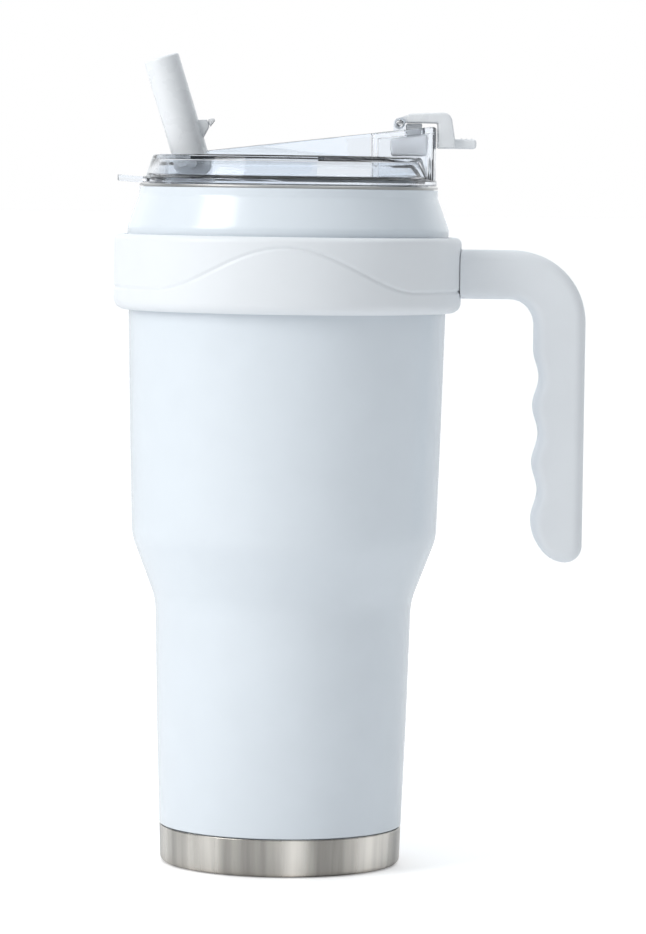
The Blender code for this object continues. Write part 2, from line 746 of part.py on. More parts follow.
def spout_seat():
    """The soft saddle that the spout's barrel wipes, with the hole that leads to the straw.

    It is cut low on its +X side, so that the folded spout clears it.
    """
    low_z = WELL_FLOOR_Z + GAP
    outline = [
        (SEAT_START_X, low_z),
        (SEAT_END_X, low_z),
        (SEAT_END_X, SEAT_STEP_Z),
        (SEAT_STEP_X, SEAT_STEP_Z),
        (SEAT_STEP_X, SEAT_TOP_Z),
        (SEAT_START_X, SEAT_TOP_Z),
    ]
    seat = as_node(plate("spout_seat", outline, CHANNEL_HALF_WIDTH - GAP), SOFT_SILICONE)
    reach = CHANNEL_HALF_WIDTH + CUT_MARGIN
    hollow = BARREL_RADIUS + GAP
    cut(seat, cross_rod("seat_hollow", SPOUT_PIVOT_X, SPOUT_PIVOT_Z, reach, hollow, 32))
    low, high = (STRAW_X, 0, WELL_FLOOR_Z), (STRAW_X, 0, SPOUT_PIVOT_Z)
    cut(seat, rod("seat_hole", low, high, STRAW_BORE_RADIUS))
    return seat


def sip_seat():
    """The soft bushing that hangs under the sip hole and takes the cap's plug."""
    drop = TOWER_WALL + GAP
    outline = [
        (SIP_SEAL_START_X, SIP_SEAL_LOW_Z),
        (SIP_SEAL_END_X, SIP_SEAL_LOW_Z),
        (SIP_SEAL_END_X, ramp_top(SIP_SEAL_END_X) - drop),
        (SIP_SEAL_START_X, ramp_top(SIP_SEAL_START_X) - drop),
    ]
    seat = as_node(plate("sip_seat", outline, SIP_SEAL_HALF_WIDTH), SOFT_SILICONE)
    cut(seat, sip_cutter("sip_seat_hole"))
    return seat


def sip_cap():
    """The flip-open cap: plate, outer leg, thumb tab and the knuckle that its pin runs in."""
    section = rounded(
        [
            (CAP_PLATE_START_X, CAP_UNDER_Z),
            (CAP_LEG_INNER_X, CAP_UNDER_Z),
            (CAP_LEG_INNER_X, CAP_LOW_Z),
            (CAP_LEG_OUTER_X, CAP_LOW_Z),
            (CAP_LEG_OUTER_X, CAP_LOW_Z + THUMB_THICKNESS),
            (CAP_LEG_TOP_X, CAP_TOP_Z, CAP_CORNER),
            (CAP_PLATE_START_X, CAP_TOP_Z - CAP_TOP_SLOPE),
        ],
        closed=True,
    )
    cap = as_node(plate("sip_cap", section, CAP_HALF_WIDTH), WHITE_GLOSS)
    thumb_start = (CAP_LEG_INNER_X + CAP_LEG_OUTER_X) / 2
    thumb = rectangle(thumb_start, THUMB_END_X, CAP_LOW_Z, CAP_LOW_Z + THUMB_THICKNESS)
    web_end = CAP_PLATE_START_X + CAP_KNUCKLE_RADIUS / 2
    tangent = CAP_KNUCKLE_RADIUS * math.sqrt(0.5)
    web = [
        (CAP_PIVOT_X + CAP_KNUCKLE_RADIUS / 2, CAP_UNDER_Z),
        (web_end, CAP_UNDER_Z),
        (web_end, CAP_TOP_Z - CAP_TOP_SLOPE - GAP),
        (CAP_PIVOT_X - tangent, CAP_PIVOT_Z + tangent),
    ]
    half = CAP_KNUCKLE_HALF_WIDTH
    bore = PIN_RADIUS + GAP
    add(cap, plate("thumb_tab", thumb, THUMB_HALF_WIDTH), plate("cap_web", web, half))
    add(cap, cross_rod("knuckle", CAP_PIVOT_X, CAP_PIVOT_Z, half, CAP_KNUCKLE_RADIUS))
    cut(cap, cross_rod("knuckle_bore", CAP_PIVOT_X, CAP_PIVOT_Z, CAP_HALF_WIDTH, bore, 12))
    return cap


def sip_plug():
    """The soft stopper under the sip cap."""
    top_z = CAP_UNDER_Z - GAP
    outline = [
        (PLUG_START_X + PLUG_TAPER / 3, PLUG_LOW_Z),
        (PLUG_END_X - PLUG_TAPER, PLUG_LOW_Z),
        (PLUG_END_X, top_z),
        (PLUG_START_X, top_z),
    ]
    return as_node(plate("sip_plug", outline, PLUG_HALF_WIDTH), SOFT_SILICONE)


def sip_cap_assembly():
    """The pin, and the pieces that turn with the cap on an empty at the pin."""
    pin = cross_rod("sip_cap_pin", CAP_PIVOT_X, CAP_PIVOT_Z, PIN_HALF_LENGTH, PIN_RADIUS, 12)
    as_node(pin, BRUSHED_STEEL)
    hinge = joint_empty("sip_cap_axis", CAP_PIVOT_X, CAP_PIVOT_Z)
    hang(hinge, sip_cap(), sip_plug())


def oval_tube():
    """The spout's upright tube, about its own pivot."""
    work = bmesh.new()
    bmesh.ops.create_cone(
        work,
        cap_ends=True,
        segments=24,
        radius1=1.0,
        radius2=1.0,
        depth=SPOUT_LENGTH,
        matrix=Matrix.Translation((0, 0, SPOUT_LENGTH / 2)),
    )
    bmesh.ops.scale(work, vec=(SPOUT_HALF_DEPTH, SPOUT_HALF_WIDTH, 1), verts=work.verts)
    return mesh_object("straw_spout", work)


def straw_spout():
    """The flip-up spout: oval tube, round barrel with trunnions, and the fin for the vent plug."""
    spout = as_node(oval_tube(), WHITE_GLOSS)
    round_edges(spout, 0.0007, segments=1)
    fin_root = SPOUT_HALF_DEPTH - FIN_SINK
    fin = [
        (fin_root, FIN_LOW - FIN_SINK),
        (FIN_REACH, FIN_LOW + FIN_REACH - fin_root - FIN_SINK),
        (FIN_REACH, FIN_HIGH - FIN_SINK),
        (fin_root, FIN_HIGH),
    ]
    add(spout, cross_rod("barrel", 0, 0, BARREL_HALF_WIDTH, BARREL_RADIUS, 32))
    add(spout, cross_rod("trunnions", 0, 0, TRUNNION_HALF_LENGTH, TRUNNION_RADIUS))
    add(spout, plate("vent_fin", fin, FIN_HALF_WIDTH))
    bore_top = (0, 0, SPOUT_LENGTH + CUT_MARGIN)
    bore_low = (0, 0, -BARREL_RADIUS - CUT_MARGIN)
    cut(spout, rod("spout_bore", bore_low, bore_top, SPOUT_BORE_RADIUS, segments=20))
    stem_start = (SPOUT_HALF_DEPTH + GAP, 0, VENT_PLUG_HEIGHT)
    stem_end = (FIN_REACH + CUT_MARGIN, 0, VENT_PLUG_HEIGHT)
    cut(spout, rod("stem_hole", stem_start, stem_end, VENT_STEM_RADIUS + GAP, segments=8))
    return spout


def vent_plug():
    """The soft tip on the fin, which stops the vent when the spout is folded."""
    head = (FIN_REACH + GAP, 0, VENT_PLUG_HEIGHT)
    tip = (VENT_PLUG_TIP, 0, VENT_PLUG_HEIGHT)
    plug = rod("vent_plug", head, tip, VENT_PLUG_RADIUS, VENT_PLUG_TIP_RADIUS, segments=12)
    stem_start = (SPOUT_HALF_DEPTH + 2 * GAP, 0, VENT_PLUG_HEIGHT)
    stem_end = (FIN_REACH + 2 * GAP, 0, VENT_PLUG_HEIGHT)
    add(plug, rod("vent_stem", stem_start, stem_end, VENT_STEM_RADIUS, segments=8))
    return as_node(plug, SOFT_SILICONE)


def spout_assembly():
    """The spout's pieces and cutters, leant back on an empty at the pivot."""
    before = set(bpy.data.objects)
    straw_spout()
    vent_plug()
    made = [obj for obj in bpy.data.objects if obj not in before]
    hinge = joint_empty("spout_axis", SPOUT_PIVOT_X, SPOUT_PIVOT_Z)
    hinge.rotation_euler = (0, -SPOUT_LEAN, 0)
    for obj in made:
        obj.parent = hinge


def straw_tube():
    top_z = WELL_FLOOR_Z - WELL_WALL - GAP
    outline = rectangle(STRAW_BORE_RADIUS, STRAW_RADIUS, STRAW_LOW_Z, top_z)
    tube = as_node(turned("straw_tube", outline, closed=True, segments=16), FROSTED_STRAW)
    tube.location.x = STRAW_X
    return tube


def main():
    clear_scene()
    outer_wall()
    inner_liner()
    base_cup()
    vacuum_fittings()
    handle()
    lid_body()
    lid_seal()
    spout_seat()
    sip_seat()
    sip_cap_assembly()
    spout_assembly()
    straw_tube()


main()
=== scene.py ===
"""The looks of the insulated tumbler: smooth shells, moulded detail, materials, light and camera.

Every size is in metres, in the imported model's frame: the cup's axis is Z, the handle points
along +X and the base stands on Z = 0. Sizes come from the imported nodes' boxes where a box
gives them, and otherwise repeat the part's own driving dimensions.
"""

import json
import math

import bmesh
import bpy
from mathutils import Matrix, Vector


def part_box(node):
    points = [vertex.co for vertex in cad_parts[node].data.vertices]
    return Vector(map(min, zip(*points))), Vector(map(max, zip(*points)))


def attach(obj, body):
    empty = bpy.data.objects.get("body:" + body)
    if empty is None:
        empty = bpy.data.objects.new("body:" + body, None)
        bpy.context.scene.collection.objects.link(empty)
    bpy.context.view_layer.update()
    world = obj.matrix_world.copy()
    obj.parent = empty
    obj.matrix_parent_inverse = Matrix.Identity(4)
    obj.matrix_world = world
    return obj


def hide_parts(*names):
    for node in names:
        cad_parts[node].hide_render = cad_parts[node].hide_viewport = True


FULL_TURN = 2 * math.pi
TURN_STEPS = 160
GAP = 0.0003

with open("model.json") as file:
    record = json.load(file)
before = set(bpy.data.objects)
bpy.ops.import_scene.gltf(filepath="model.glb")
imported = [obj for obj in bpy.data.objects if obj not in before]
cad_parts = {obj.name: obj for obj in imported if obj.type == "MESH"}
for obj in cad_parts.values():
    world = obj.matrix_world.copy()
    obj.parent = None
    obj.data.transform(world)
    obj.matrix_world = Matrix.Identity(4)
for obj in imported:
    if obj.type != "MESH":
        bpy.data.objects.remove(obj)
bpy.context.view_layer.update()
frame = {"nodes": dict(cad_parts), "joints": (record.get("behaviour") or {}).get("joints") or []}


def low(node):
    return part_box(node)[0]


def high(node):
    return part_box(node)[1]


# Cup
RIM_Z = high("inner_liner")[2]
NECK_RADIUS = high("inner_liner")[0]
LIP_THICKNESS = 0.0007
OUTER_THICKNESS = 0.0010
LINER_THICKNESS = 0.0008
LINER_INSET = 0.0040
LINER_FLOOR_Z = low("inner_liner")[2] + LINER_THICKNESS
LINER_FLOOR_FILLET = 0.0060
OUTER_FLOOR_Z = low("outer_wall")[2]
BASE_TOP_Z = high("base_cup")[2]
BASE_TOP_RADIUS = high("base_cup")[0]
LOWER_MID = (0.0403, 0.0460)
LOWER_KNEE = (0.04126, 0.0850, 0.0220)
UPPER_KNEE = (0.04903, 0.1055, 0.0160)
UPPER_MID = (0.0499, 0.1335)
SHOULDER = (0.0517, 0.2050, 0.0040)
NECK = (NECK_RADIUS, 0.2150, 0.0030)
BASE_RADIUS = 0.0387
BASE_CORNER = 0.0018
BASE_PLATE = 0.0009
BASE_RECESS = 0.0007
BASE_PAD_RADIUS = 0.0160
BASE_FOOT_INNER = 0.0335

# Handle
RING_RADIUS = high("handle_ring")[1]
RING_LOW_Z, RING_TOP_Z = low("handle_ring")[2], high("handle_ring")[2]
RING_WALL = 0.0031
RING_TOP_EDGE, RING_LOW_EDGE = 0.0020, 0.0034
WAVE_BASE_Z, WAVE_HEIGHT = 0.1854, 0.0137
WAVE_HALF_ANGLE = math.radians(47)
WAVE_DEPTH, WAVE_HALF_WIDTH = 0.00045, 0.0008
SLEEVE_LOW_Z, SLEEVE_TOP_Z = low("ring_sleeve")[2], high("ring_sleeve")[2]
ARM_TOP_Z, ARM_UNDER_Z = high("handle_arm")[2], 0.1831
ARM_INNER_X, ARM_OUTER_X = 0.0797, high("handle_arm")[0]
ARM_OUTER_BEND, ARM_INNER_BEND = 0.0230, 0.0085
ARM_END_Z = low("handle_arm")[2]
ARM_HALF_WIDTH = high("handle_arm")[1]
ARM_HEEL = 0.0054
ARM_EDGE = 0.0036
FINGER_DEPTH, FINGER_PITCH, FINGER_LOW_Z, FINGER_COUNT = 0.0019, 0.01835, 0.1120, 3
SCREW_HEAD_RADIUS, SCREW_SHANK_RADIUS = 0.0026, 0.0013
SCREW_HEAD_HEIGHT = 0.0012

# Lid
FLANGE_RADIUS = 0.0476
FLANGE_LOW_Z = RIM_Z + GAP
FLANGE_THICKNESS = 0.0020
COLLAR_LOW_RADIUS, COLLAR_TOP_RADIUS, COLLAR_WALL = 0.0460, 0.0437, 0.0020
DECK_Z, DECK_THICKNESS = 0.2280, 0.0020
SKIRT_RADIUS, SKIRT_INNER = 0.0450, 0.0414
SKIRT_LOW_Z = 0.2090
GROOVE_RADIUS = 0.0432
GROOVE_LOW_Z, GROOVE_TOP_Z = low("lid_seal")[2] - GAP, high("lid_seal")[2] + GAP
SEAT_STEP_X, SEAT_STEP_Z = -0.0285, 0.2197
TAB_WIDTH, TAB_THICKNESS = 0.0180, 0.0020
TAB_ROOT_X, TAB_BEND_X, TAB_TIP_X, TAB_TIP_Z = -0.0460, -0.0482, low("lid_body")[0], 0.2204
RAMP_START_X, RAMP_START_Z, RAMP_SLOPE = -0.0265, 0.2293, 0.1189
RAMP_HALF_WIDTH, CHANNEL_HALF_WIDTH, CHANNEL_END_X = 0.0084, 0.0066, 0.0270
WELL_START_X, WELL_END_X, WELL_BEND_X = -0.0393, 0.0074, -0.0240
WELL_FLOOR_Z, WELL_END_Z = 0.2174, 0.2223
WELL_WALL, WELL_SIDE_WALL = 0.0016, 0.0026
TOWER_START_X, TOWER_RADIUS, TOWER_HALF_WIDTH = 0.0265, 0.0472, 0.0110
TOWER_WALL, TOWER_LOW_Z = 0.0020, 0.2200
SIP_START_X, SIP_END_X, SIP_HALF_WIDTH = 0.0369, 0.0433, 0.0060

# Sip cap
joints = {joint["name"]: joint for joint in frame["joints"]}
CAP_PIVOT = Vector(joints["sip_cap_flip"]["pos_m"])
CAP_KNUCKLE_RADIUS, CAP_KNUCKLE_HALF_WIDTH = 0.0017, 0.0070
CAP_HALF_WIDTH = high("sip_cap")[1]
CAP_PLATE_START_X = 0.0376
CAP_UNDER_Z, CAP_TOP_Z = 0.2392, high("sip_cap")[2]
CAP_LEG_INNER_X, CAP_LEG_OUTER_X, CAP_LEG_TOP_X = 0.0476, 0.0530, 0.0516
CAP_CORNER, CAP_TOP_SLOPE = 0.0030, 0.0007
CAP_LOW_Z = low("sip_cap")[2]
THUMB_END_X = high("sip_cap")[0]
THUMB_THICKNESS, THUMB_HALF_WIDTH = 0.0030, 0.0070
PIN_RADIUS = high("sip_cap_pin")[2] - CAP_PIVOT.z
PIN_HALF_LENGTH = high("sip_cap_pin")[1]
LUG_RADIUS = 0.0019

# Spout
SPOUT_PIVOT = Vector(joints["spout_fold"]["pos_m"])
SPOUT_LEAN = math.radians(17.5)
SPOUT_LENGTH = 0.0352
SPOUT_HALF_DEPTH, SPOUT_HALF_WIDTH = 0.00575, 0.0061
SPOUT_BORE_RADIUS = 0.0036
BARREL_RADIUS, BARREL_HALF_WIDTH = 0.0060, 0.0040
TRUNNION_RADIUS, TRUNNION_HALF_LENGTH = 0.0016, high("straw_spout")[1]
FIN_LOW, FIN_HIGH, FIN_REACH, FIN_HALF_WIDTH = 0.0067, 0.0127, 0.0084, 0.0018
FIN_SINK = 0.0008
VENT_PLUG_HEIGHT, VENT_PLUG_TIP = 0.0106, 0.0108
VENT_HOLE_X, VENT_HOLE_LENGTH, VENT_HOLE_WIDTH = -0.0188, 0.0060, 0.0044

# Straw
STRAW_LOW_Z, STRAW_TOP_Z = low("straw_tube")[2], high("straw_tube")[2]
STRAW_X = (low("straw_tube")[0] + high("straw_tube")[0]) / 2
STRAW_RADIUS = high("straw_tube")[1]
STRAW_BORE_RADIUS = 0.0032
SOCKET_LOW_Z, SOCKET_WALL = low("lid_body")[2], 0.0011

# Floor, light and camera
FLOOR_HALF_SIZE, FLOOR_DROP = 40, 0.0002
FLOOR_GLOW = 0.34
TENT_BASE = 0.26
BACK_WALL = (0.30, 0.85, 0.85)
TOP_WALL = (0.45, 1.0, 0.90)
KEY_PLACE, KEY_SIZE, KEY_AIM = (-0.944, -0.613, 0.77), (0.55, 0.80), (0, 0, 0.12)
KEY_POWER, KEY_COLOUR = 7.7, (1.0, 0.99, 0.97)
LENS, SENSOR_WIDTH = 173.4, 36
EYE_X, EYE_DISTANCE, EYE_Z, AIM_Z = 0.0123, 1.45, 0.2167, 0.1280
CAMERA_ROLL = math.radians(0.825)

# ---------------------------------------------------------------- mesh tools


def corner_arc(before, corner, after, radius, steps):
    """The arc that rounds one corner of a path, as points."""
    point = Vector(corner)
    back = (Vector(before) - point).normalized()
    forward = (Vector(after) - point).normalized()
    half = back.angle(forward) / 2
    centre = point + (back + forward).normalized() * radius / math.sin(half)
    start = point + back * radius / math.tan(half) - centre
    end = point + forward * radius / math.tan(half) - centre
    turn = math.atan2(start.x * end.y - start.y * end.x, start.dot(end))
    points = []
    for step in range(steps + 1):
        spoke = Matrix.Rotation(turn * step / steps, 2) @ start
        points.append(tuple(centre + spoke))
    return points


def rounded(path, closed=False, steps=8):
    """A path of (x, z) or (x, z, radius) points with an arc at each point that has a radius."""
    flat = [point[:2] for point in path]
    points = []
    for index, point in enumerate(path):
        inside = closed or 0 < index < len(path) - 1
        if len(point) == 3 and inside:
            before = flat[index - 1]
            after = flat[(index + 1) % len(flat)]
            points += corner_arc(before, point[:2], after, point[2], steps)
        else:
            points.append(point[:2])
    return points


def finer(path, step):
    """The same path with extra points, so that none are further apart than step."""
    points = [path[0]]
    for start, end in zip(path, path[1:]):
        count = max(1, math.ceil((Vector(end) - Vector(start)).length / step))
        for index in range(1, count + 1):
            points.append(tuple(Vector(start).lerp(Vector(end), index / count)))
    return points


def mesh_object(name, work, sharp_angle=35):
    """A new object from a bmesh, with its faces turned outwards and smooth shading."""
    bmesh.ops.remove_doubles(work, verts=work.verts, dist=1e-6)
    bmesh.ops.recalc_face_normals(work, faces=work.faces)
    mesh = bpy.data.meshes.new(name)
    work.to_mesh(mesh)
    work.free()
    mesh.shade_smooth()
    mesh.set_sharp_from_angle(angle=math.radians(sharp_angle))
    obj = bpy.data.objects.new(name, mesh)
    bpy.context.scene.collection.objects.link(obj)
    return obj


def turned(name, outline, closed=False, segments=TURN_STEPS, reshape=None, sharp_angle=35):
    """The outline of (radius, z) points turned about Z. reshape(angle, radius, z) moves a point."""
    work = bmesh.new()
    rings = []
    for radius, z in outline:
        if radius < 1e-7:
            rings.append([work.verts.new((0, 0, z))] * segments)
            continue
        ring = []
        for step in range(segments):
            angle = FULL_TURN * step / segments
            r, height = reshape(angle, radius, z) if reshape else (radius, z)
            ring.append(work.verts.new((r * math.cos(angle), r * math.sin(angle), height)))
        rings.append(ring)
    pairs = list(zip(rings, rings[1:]))
    if closed:
        pairs.append((rings[-1], rings[0]))
    for first, second in pairs:
        for step in range(segments):
            after = (step + 1) % segments
            corners = [first[step], first[after], second[after], second[step]]
            unique = list(dict.fromkeys(corners))
            if len(unique) > 2:
                work.faces.new(unique)
    return mesh_object(name, work, sharp_angle)


def plate(name, outline, half_width, middle=0.0):
    """The outline of (x, z) points extruded along Y, half_width to each side of middle."""
    work = bmesh.new()
    verts = [work.verts.new((x, middle - half_width, z)) for x, z in outline]
    face = work.faces.new(verts)
    grown = bmesh.ops.extrude_face_region(work, geom=[face])
    moved = [item for item in grown["geom"] if isinstance(item, bmesh.types.BMVert)]
    bmesh.ops.translate(work, verts=moved, vec=(0, 2 * half_width, 0))
    return mesh_object(name, work)


def rod(name, start, end, radius, end_radius=None, segments=48):
    """A round bar, or a cone when end_radius is given, between two points."""
    start = Vector(start)
    run = Vector(end) - start
    turn = run.to_track_quat("Z", "Y").to_matrix().to_4x4()
    work = bmesh.new()
    bmesh.ops.create_cone(
        work,
        cap_ends=True,
        segments=segments,
        radius1=radius,
        radius2=radius if end_radius is None else end_radius,
        depth=run.length,
        matrix=Matrix.Translation(start + run / 2) @ turn,
    )
    return mesh_object(name, work)


def cross_rod(name, x, z, half_length, radius, segments=48):
    """A round bar along Y."""
    return rod(name, (x, -half_length, z), (x, half_length, z), radius, segments=segments)


def rectangle(x_low, x_high, z_low, z_high):
    return [(x_low, z_low), (x_high, z_low), (x_high, z_high), (x_low, z_high)]


def apply_modifiers(obj):
    """Makes what the modifiers give the object's own mesh, and drops the objects they used."""
    used = [modifier.object for modifier in obj.modifiers if modifier.type == "BOOLEAN"]
    graph = bpy.context.evaluated_depsgraph_get()
    mesh = bpy.data.meshes.new_from_object(obj.evaluated_get(graph))
    obj.modifiers.clear()
    obj.data = mesh
    for helper in used:
        bpy.data.objects.remove(helper)
    return obj


def combine(target, other, operation):
    modifier = target.modifiers.new(other.name, "BOOLEAN")
    modifier.operation = operation
    modifier.object = other
    return apply_modifiers(target)


def add(target, *others):
    for other in others:
        combine(target, other, "UNION")
    return target


def cut(target, *others):
    for other in others:
        combine(target, other, "DIFFERENCE")
    return target


def round_edges(obj, width, segments=3, angle=40):
    """Rounds the object's edges that are sharper than angle."""
    modifier = obj.modifiers.new("round_edges", "BEVEL")
    modifier.width = width
    modifier.segments = segments
    modifier.limit_method = "ANGLE"
    modifier.angle_limit = math.radians(angle)
    modifier.use_clamp_overlap = True
    apply_modifiers(obj)
    return obj


def smooth_shading(obj, angle=35):
    obj.data.shade_smooth()
    obj.data.set_sharp_from_angle(angle=math.radians(angle))
    return obj


def place(obj, body, slot, material, *nodes):
    """Puts a finished piece on its body, in place of the CAD nodes that it stands for."""
    obj.data.materials.clear()
    obj.data.materials.append(material)
    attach(obj, body)
    if nodes:
        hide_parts(*nodes)
    return obj


# ----------------------------------------------------------------- materials


def shader_material(name, colour, roughness, **values):
    """A material whose Principled shader has these constants. Returns it and its shader."""
    material = bpy.data.materials.new(name)
    material.use_nodes = True
    shader = material.node_tree.nodes["Principled BSDF"]
    shader.inputs["Base Color"].default_value = (*colour, 1.0)
    shader.inputs["Roughness"].default_value = roughness
    shader.inputs["Subsurface Radius"].default_value = (1, 1, 1)
    for socket, value in values.items():
        shader.inputs[socket.replace("_", " ")].default_value = value
    return material, shader


def noise(material, scale, detail=2.0, stretch=(1, 1, 1)):
    """A noise texture over the object's own coordinates, as an output socket."""
    tree = material.node_tree
    place_node = tree.nodes.new("ShaderNodeTexCoord")
    mapping = tree.nodes.new("ShaderNodeMapping")
    texture = tree.nodes.new("ShaderNodeTexNoise")
    mapping.inputs["Scale"].default_value = stretch
    texture.inputs["Scale"].default_value = scale
    texture.inputs["Detail"].default_value = detail
    tree.links.new(place_node.outputs["Object"], mapping.inputs["Vector"])
    tree.links.new(mapping.outputs["Vector"], texture.inputs["Vector"])
    return texture.outputs["Fac"]


def remap(material, source, low_out, high_out, low_in=0.3, high_in=0.7):
    """Scales a texture's middle range to the range wanted."""
    node = material.node_tree.nodes.new("ShaderNodeMapRange")
    node.inputs["From Min"].default_value = low_in
    node.inputs["From Max"].default_value = high_in
    node.inputs["To Min"].default_value = low_out
    node.inputs["To Max"].default_value = high_out
    material.node_tree.links.new(source, node.inputs["Value"])
    return node.outputs["Result"]


def vary_colour(material, shader, source, dark, light, spread=0.2):
    """Runs the base colour between two near colours, over the middle of the texture's range."""
    ramp = material.node_tree.nodes.new("ShaderNodeValToRGB")
    ramp.color_ramp.elements[0].position = 0.5 - spread
    ramp.color_ramp.elements[1].position = 0.5 + spread
    ramp.color_ramp.elements[0].color = (*dark, 1)
    ramp.color_ramp.elements[1].color = (*light, 1)
    material.node_tree.links.new(source, ramp.inputs["Fac"])
    material.node_tree.links.new(ramp.outputs["Color"], shader.inputs["Base Color"])


def vary_roughness(material, shader, source, smooth, rough):
    result = remap(material, source, smooth, rough)
    material.node_tree.links.new(result, shader.inputs["Roughness"])


def bump(material, shader, source, height, strength=1.0):
    """Raises the surface by up to height metres where the source is bright."""
    node = material.node_tree.nodes.new("ShaderNodeBump")
    node.inputs["Strength"].default_value = strength
    node.inputs["Distance"].default_value = height
    material.node_tree.links.new(source, node.inputs["Height"])
    material.node_tree.links.new(node.outputs["Normal"], shader.inputs["Normal"])


def tint(colour, factor):
    return tuple(min(1.0, channel * factor) for channel in colour)


def white_coat():
    """Smooth white powder coat: a faint orange peel under a glossy top."""
    colour = (0.815, 0.878, 0.940)
    material, shader = shader_material(
        "white_coat", colour, 0.22, Coat_Weight=0.25, Coat_Roughness=0.08
    )
    vary_colour(material, shader, noise(material, 60, 3), tint(colour, 0.985), tint(colour, 1.01))
    vary_roughness(material, shader, noise(material, 300, 2), 0.19, 0.27)
    bump(material, shader, noise(material, 900, 2), 0.000006)
    return material


def brushed_steel(name, colour, streaks, smooth=0.22, rough=0.40, grain_and_sheen_contrast=0.2):
    """Bare steel with brushing lines. streaks stretches the noise across the lines. A small
    contrast gives the brushing grain's own tone, and a large one paints broad light and dark bands:
    painted sheen that stands in for reflections and shade.
    """
    material, shader = shader_material(name, colour, 0.3, Metallic=1.0, Anisotropic=0.5)
    lines = noise(material, 1.0, 6, streaks)
    dark, light = tint(colour, 1 - grain_and_sheen_contrast), tint(colour, 1 + grain_and_sheen_contrast)
    vary_colour(material, shader, lines, dark, light, 0.12)
    vary_roughness(material, shader, lines, smooth, rough)
    bump(material, shader, lines, 0.000008)
    return material


def moulded(name, colour, roughness, grain=700, height=0.00001):
    """Moulded plastic with a fine grain and slightly uneven gloss."""
    material, shader = shader_material(name, colour, roughness)
    vary_colour(material, shader, noise(material, 45, 3), tint(colour, 0.98), tint(colour, 1.01))
    vary_roughness(material, shader, noise(material, 220, 3), roughness * 0.88, roughness * 1.15)
    bump(material, shader, noise(material, grain, 3), height)
    return material


def silicone(name, colour):
    """Soft silicone: matt, a little light under the skin."""
    material, shader = shader_material(
        name, colour, 0.55, Subsurface_Weight=0.15, Subsurface_Scale=0.002
    )
    vary_roughness(material, shader, noise(material, 400, 2), 0.50, 0.64)
    bump(material, shader, noise(material, 1500, 2), 0.000008)
    return material


def clear_plastic(name, colour, roughness, absorption):
    """Clear moulded plastic with very slight flow marks, which darkens along its thickness."""
    material, shader = shader_material(name, colour, roughness, IOR=1.33)
    shader.inputs["Transmission Weight"].default_value = 1.0
    vary_roughness(material, shader, noise(material, 150, 2), roughness * 0.7, roughness * 1.5)
    bump(material, shader, noise(material, 120, 2), 0.00002)
    tree = material.node_tree
    volume = tree.nodes.new("ShaderNodeVolumeAbsorption")
    volume.inputs["Color"].default_value = (0.55, 0.62, 0.75, 1)
    volume.inputs["Density"].default_value = absorption
    tree.links.new(volume.outputs["Volume"], tree.nodes["Material Output"].inputs["Volume"])
    return material


coat = white_coat()
# The base's broad light and dark bands (contrast 0.50, noise stretched round the cup) are painted
# sheen. They are painted highlights and painted shade for the key light's reflection, laid over the
# real brushing grain.
base_steel_painted_sheen = brushed_steel("base_steel_painted_sheen", (0.64, 0.61, 0.565), (48, 48, 2), 0.2, 0.34, 0.50)
liner_steel = brushed_steel("liner_steel", (0.66, 0.66, 0.65), (20, 20, 700), 0.28, 0.42)
screw_steel = brushed_steel("screw_steel", (0.45, 0.45, 0.46), (900, 900, 900))
pin_steel = brushed_steel("pin_steel", (0.78, 0.79, 0.81), (900, 60, 900), 0.30, 0.42)
getter_steel = brushed_steel("getter_steel", (0.35, 0.35, 0.36), (500, 500, 500), 0.4, 0.6)
seal_glass = moulded("seal_glass", (0.20, 0.20, 0.22), 0.4)
handle_plastic = moulded("handle_plastic", (0.885, 0.918, 0.955), 0.42)
gloss_plastic = moulded("gloss_plastic", (0.905, 0.932, 0.962), 0.28, 500, 0.000005)
sleeve_rubber = silicone("sleeve_rubber", (0.78, 0.80, 0.83))
seal_silicone = silicone("seal_silicone", (0.94, 0.955, 0.98))
lid_plastic = clear_plastic("lid_plastic", (0.92, 0.945, 0.975), 0.04, 6)
straw_plastic = clear_plastic("straw_plastic", (0.95, 0.97, 1.0), 0.18, 40)


# ----------------------------------------------------------------------- cup


def wall_path(offset):
    """The cup's outer profile above the base cup, moved inwards by offset."""
    points = [(BASE_TOP_RADIUS, BASE_TOP_Z + GAP), LOWER_MID, LOWER_KNEE, UPPER_KNEE, UPPER_MID]
    points += [SHOULDER, NECK, (NECK_RADIUS, RIM_Z - LIP_THICKNESS - GAP)]
    return [(point[0] - offset, *point[1:]) for point in points]


def tumbler_wall():
    foot_radius = BASE_TOP_RADIUS - OUTER_THICKNESS - GAP
    inner_foot = foot_radius - OUTER_THICKNESS
    inside = wall_path(OUTER_THICKNESS)[1:]
    inside.reverse()
    inside += [(inner_foot, BASE_TOP_Z), (inner_foot, OUTER_FLOOR_Z + OUTER_THICKNESS)]
    inside.append((0, OUTER_FLOOR_Z + OUTER_THICKNESS))
    outside = wall_path(0)
    edge = (outside[0][0] - OUTER_THICKNESS, outside[0][1])
    outside[0] = (*outside[0], 0.0004)
    foot = [(0, OUTER_FLOOR_Z), (foot_radius, OUTER_FLOOR_Z), (foot_radius, edge[1]), edge]
    outline = foot[:3] + rounded([edge] + outside) + rounded(inside)
    wall = turned("tumbler_wall", outline, sharp_angle=40)
    place(wall, "tumbler", "white_coat", coat, "outer_wall")


def liner_path(offset):
    inset = LINER_INSET - offset
    neck = NECK_RADIUS - OUTER_THICKNESS - GAP - LINER_THICKNESS + offset
    foot = (BASE_TOP_RADIUS - inset, LINER_FLOOR_Z - offset, LINER_FLOOR_FILLET + offset)
    return [
        (neck, RIM_Z - LIP_THICKNESS),
        (neck, SHOULDER[1]),
        (UPPER_MID[0] - inset, UPPER_MID[1]),
        (UPPER_KNEE[0] - inset, *UPPER_KNEE[1:]),
        (LOWER_KNEE[0] - inset, *LOWER_KNEE[1:]),
        (LOWER_MID[0] - inset, LOWER_MID[1]),
        foot,
        (0, LINER_FLOOR_Z - offset),
    ]


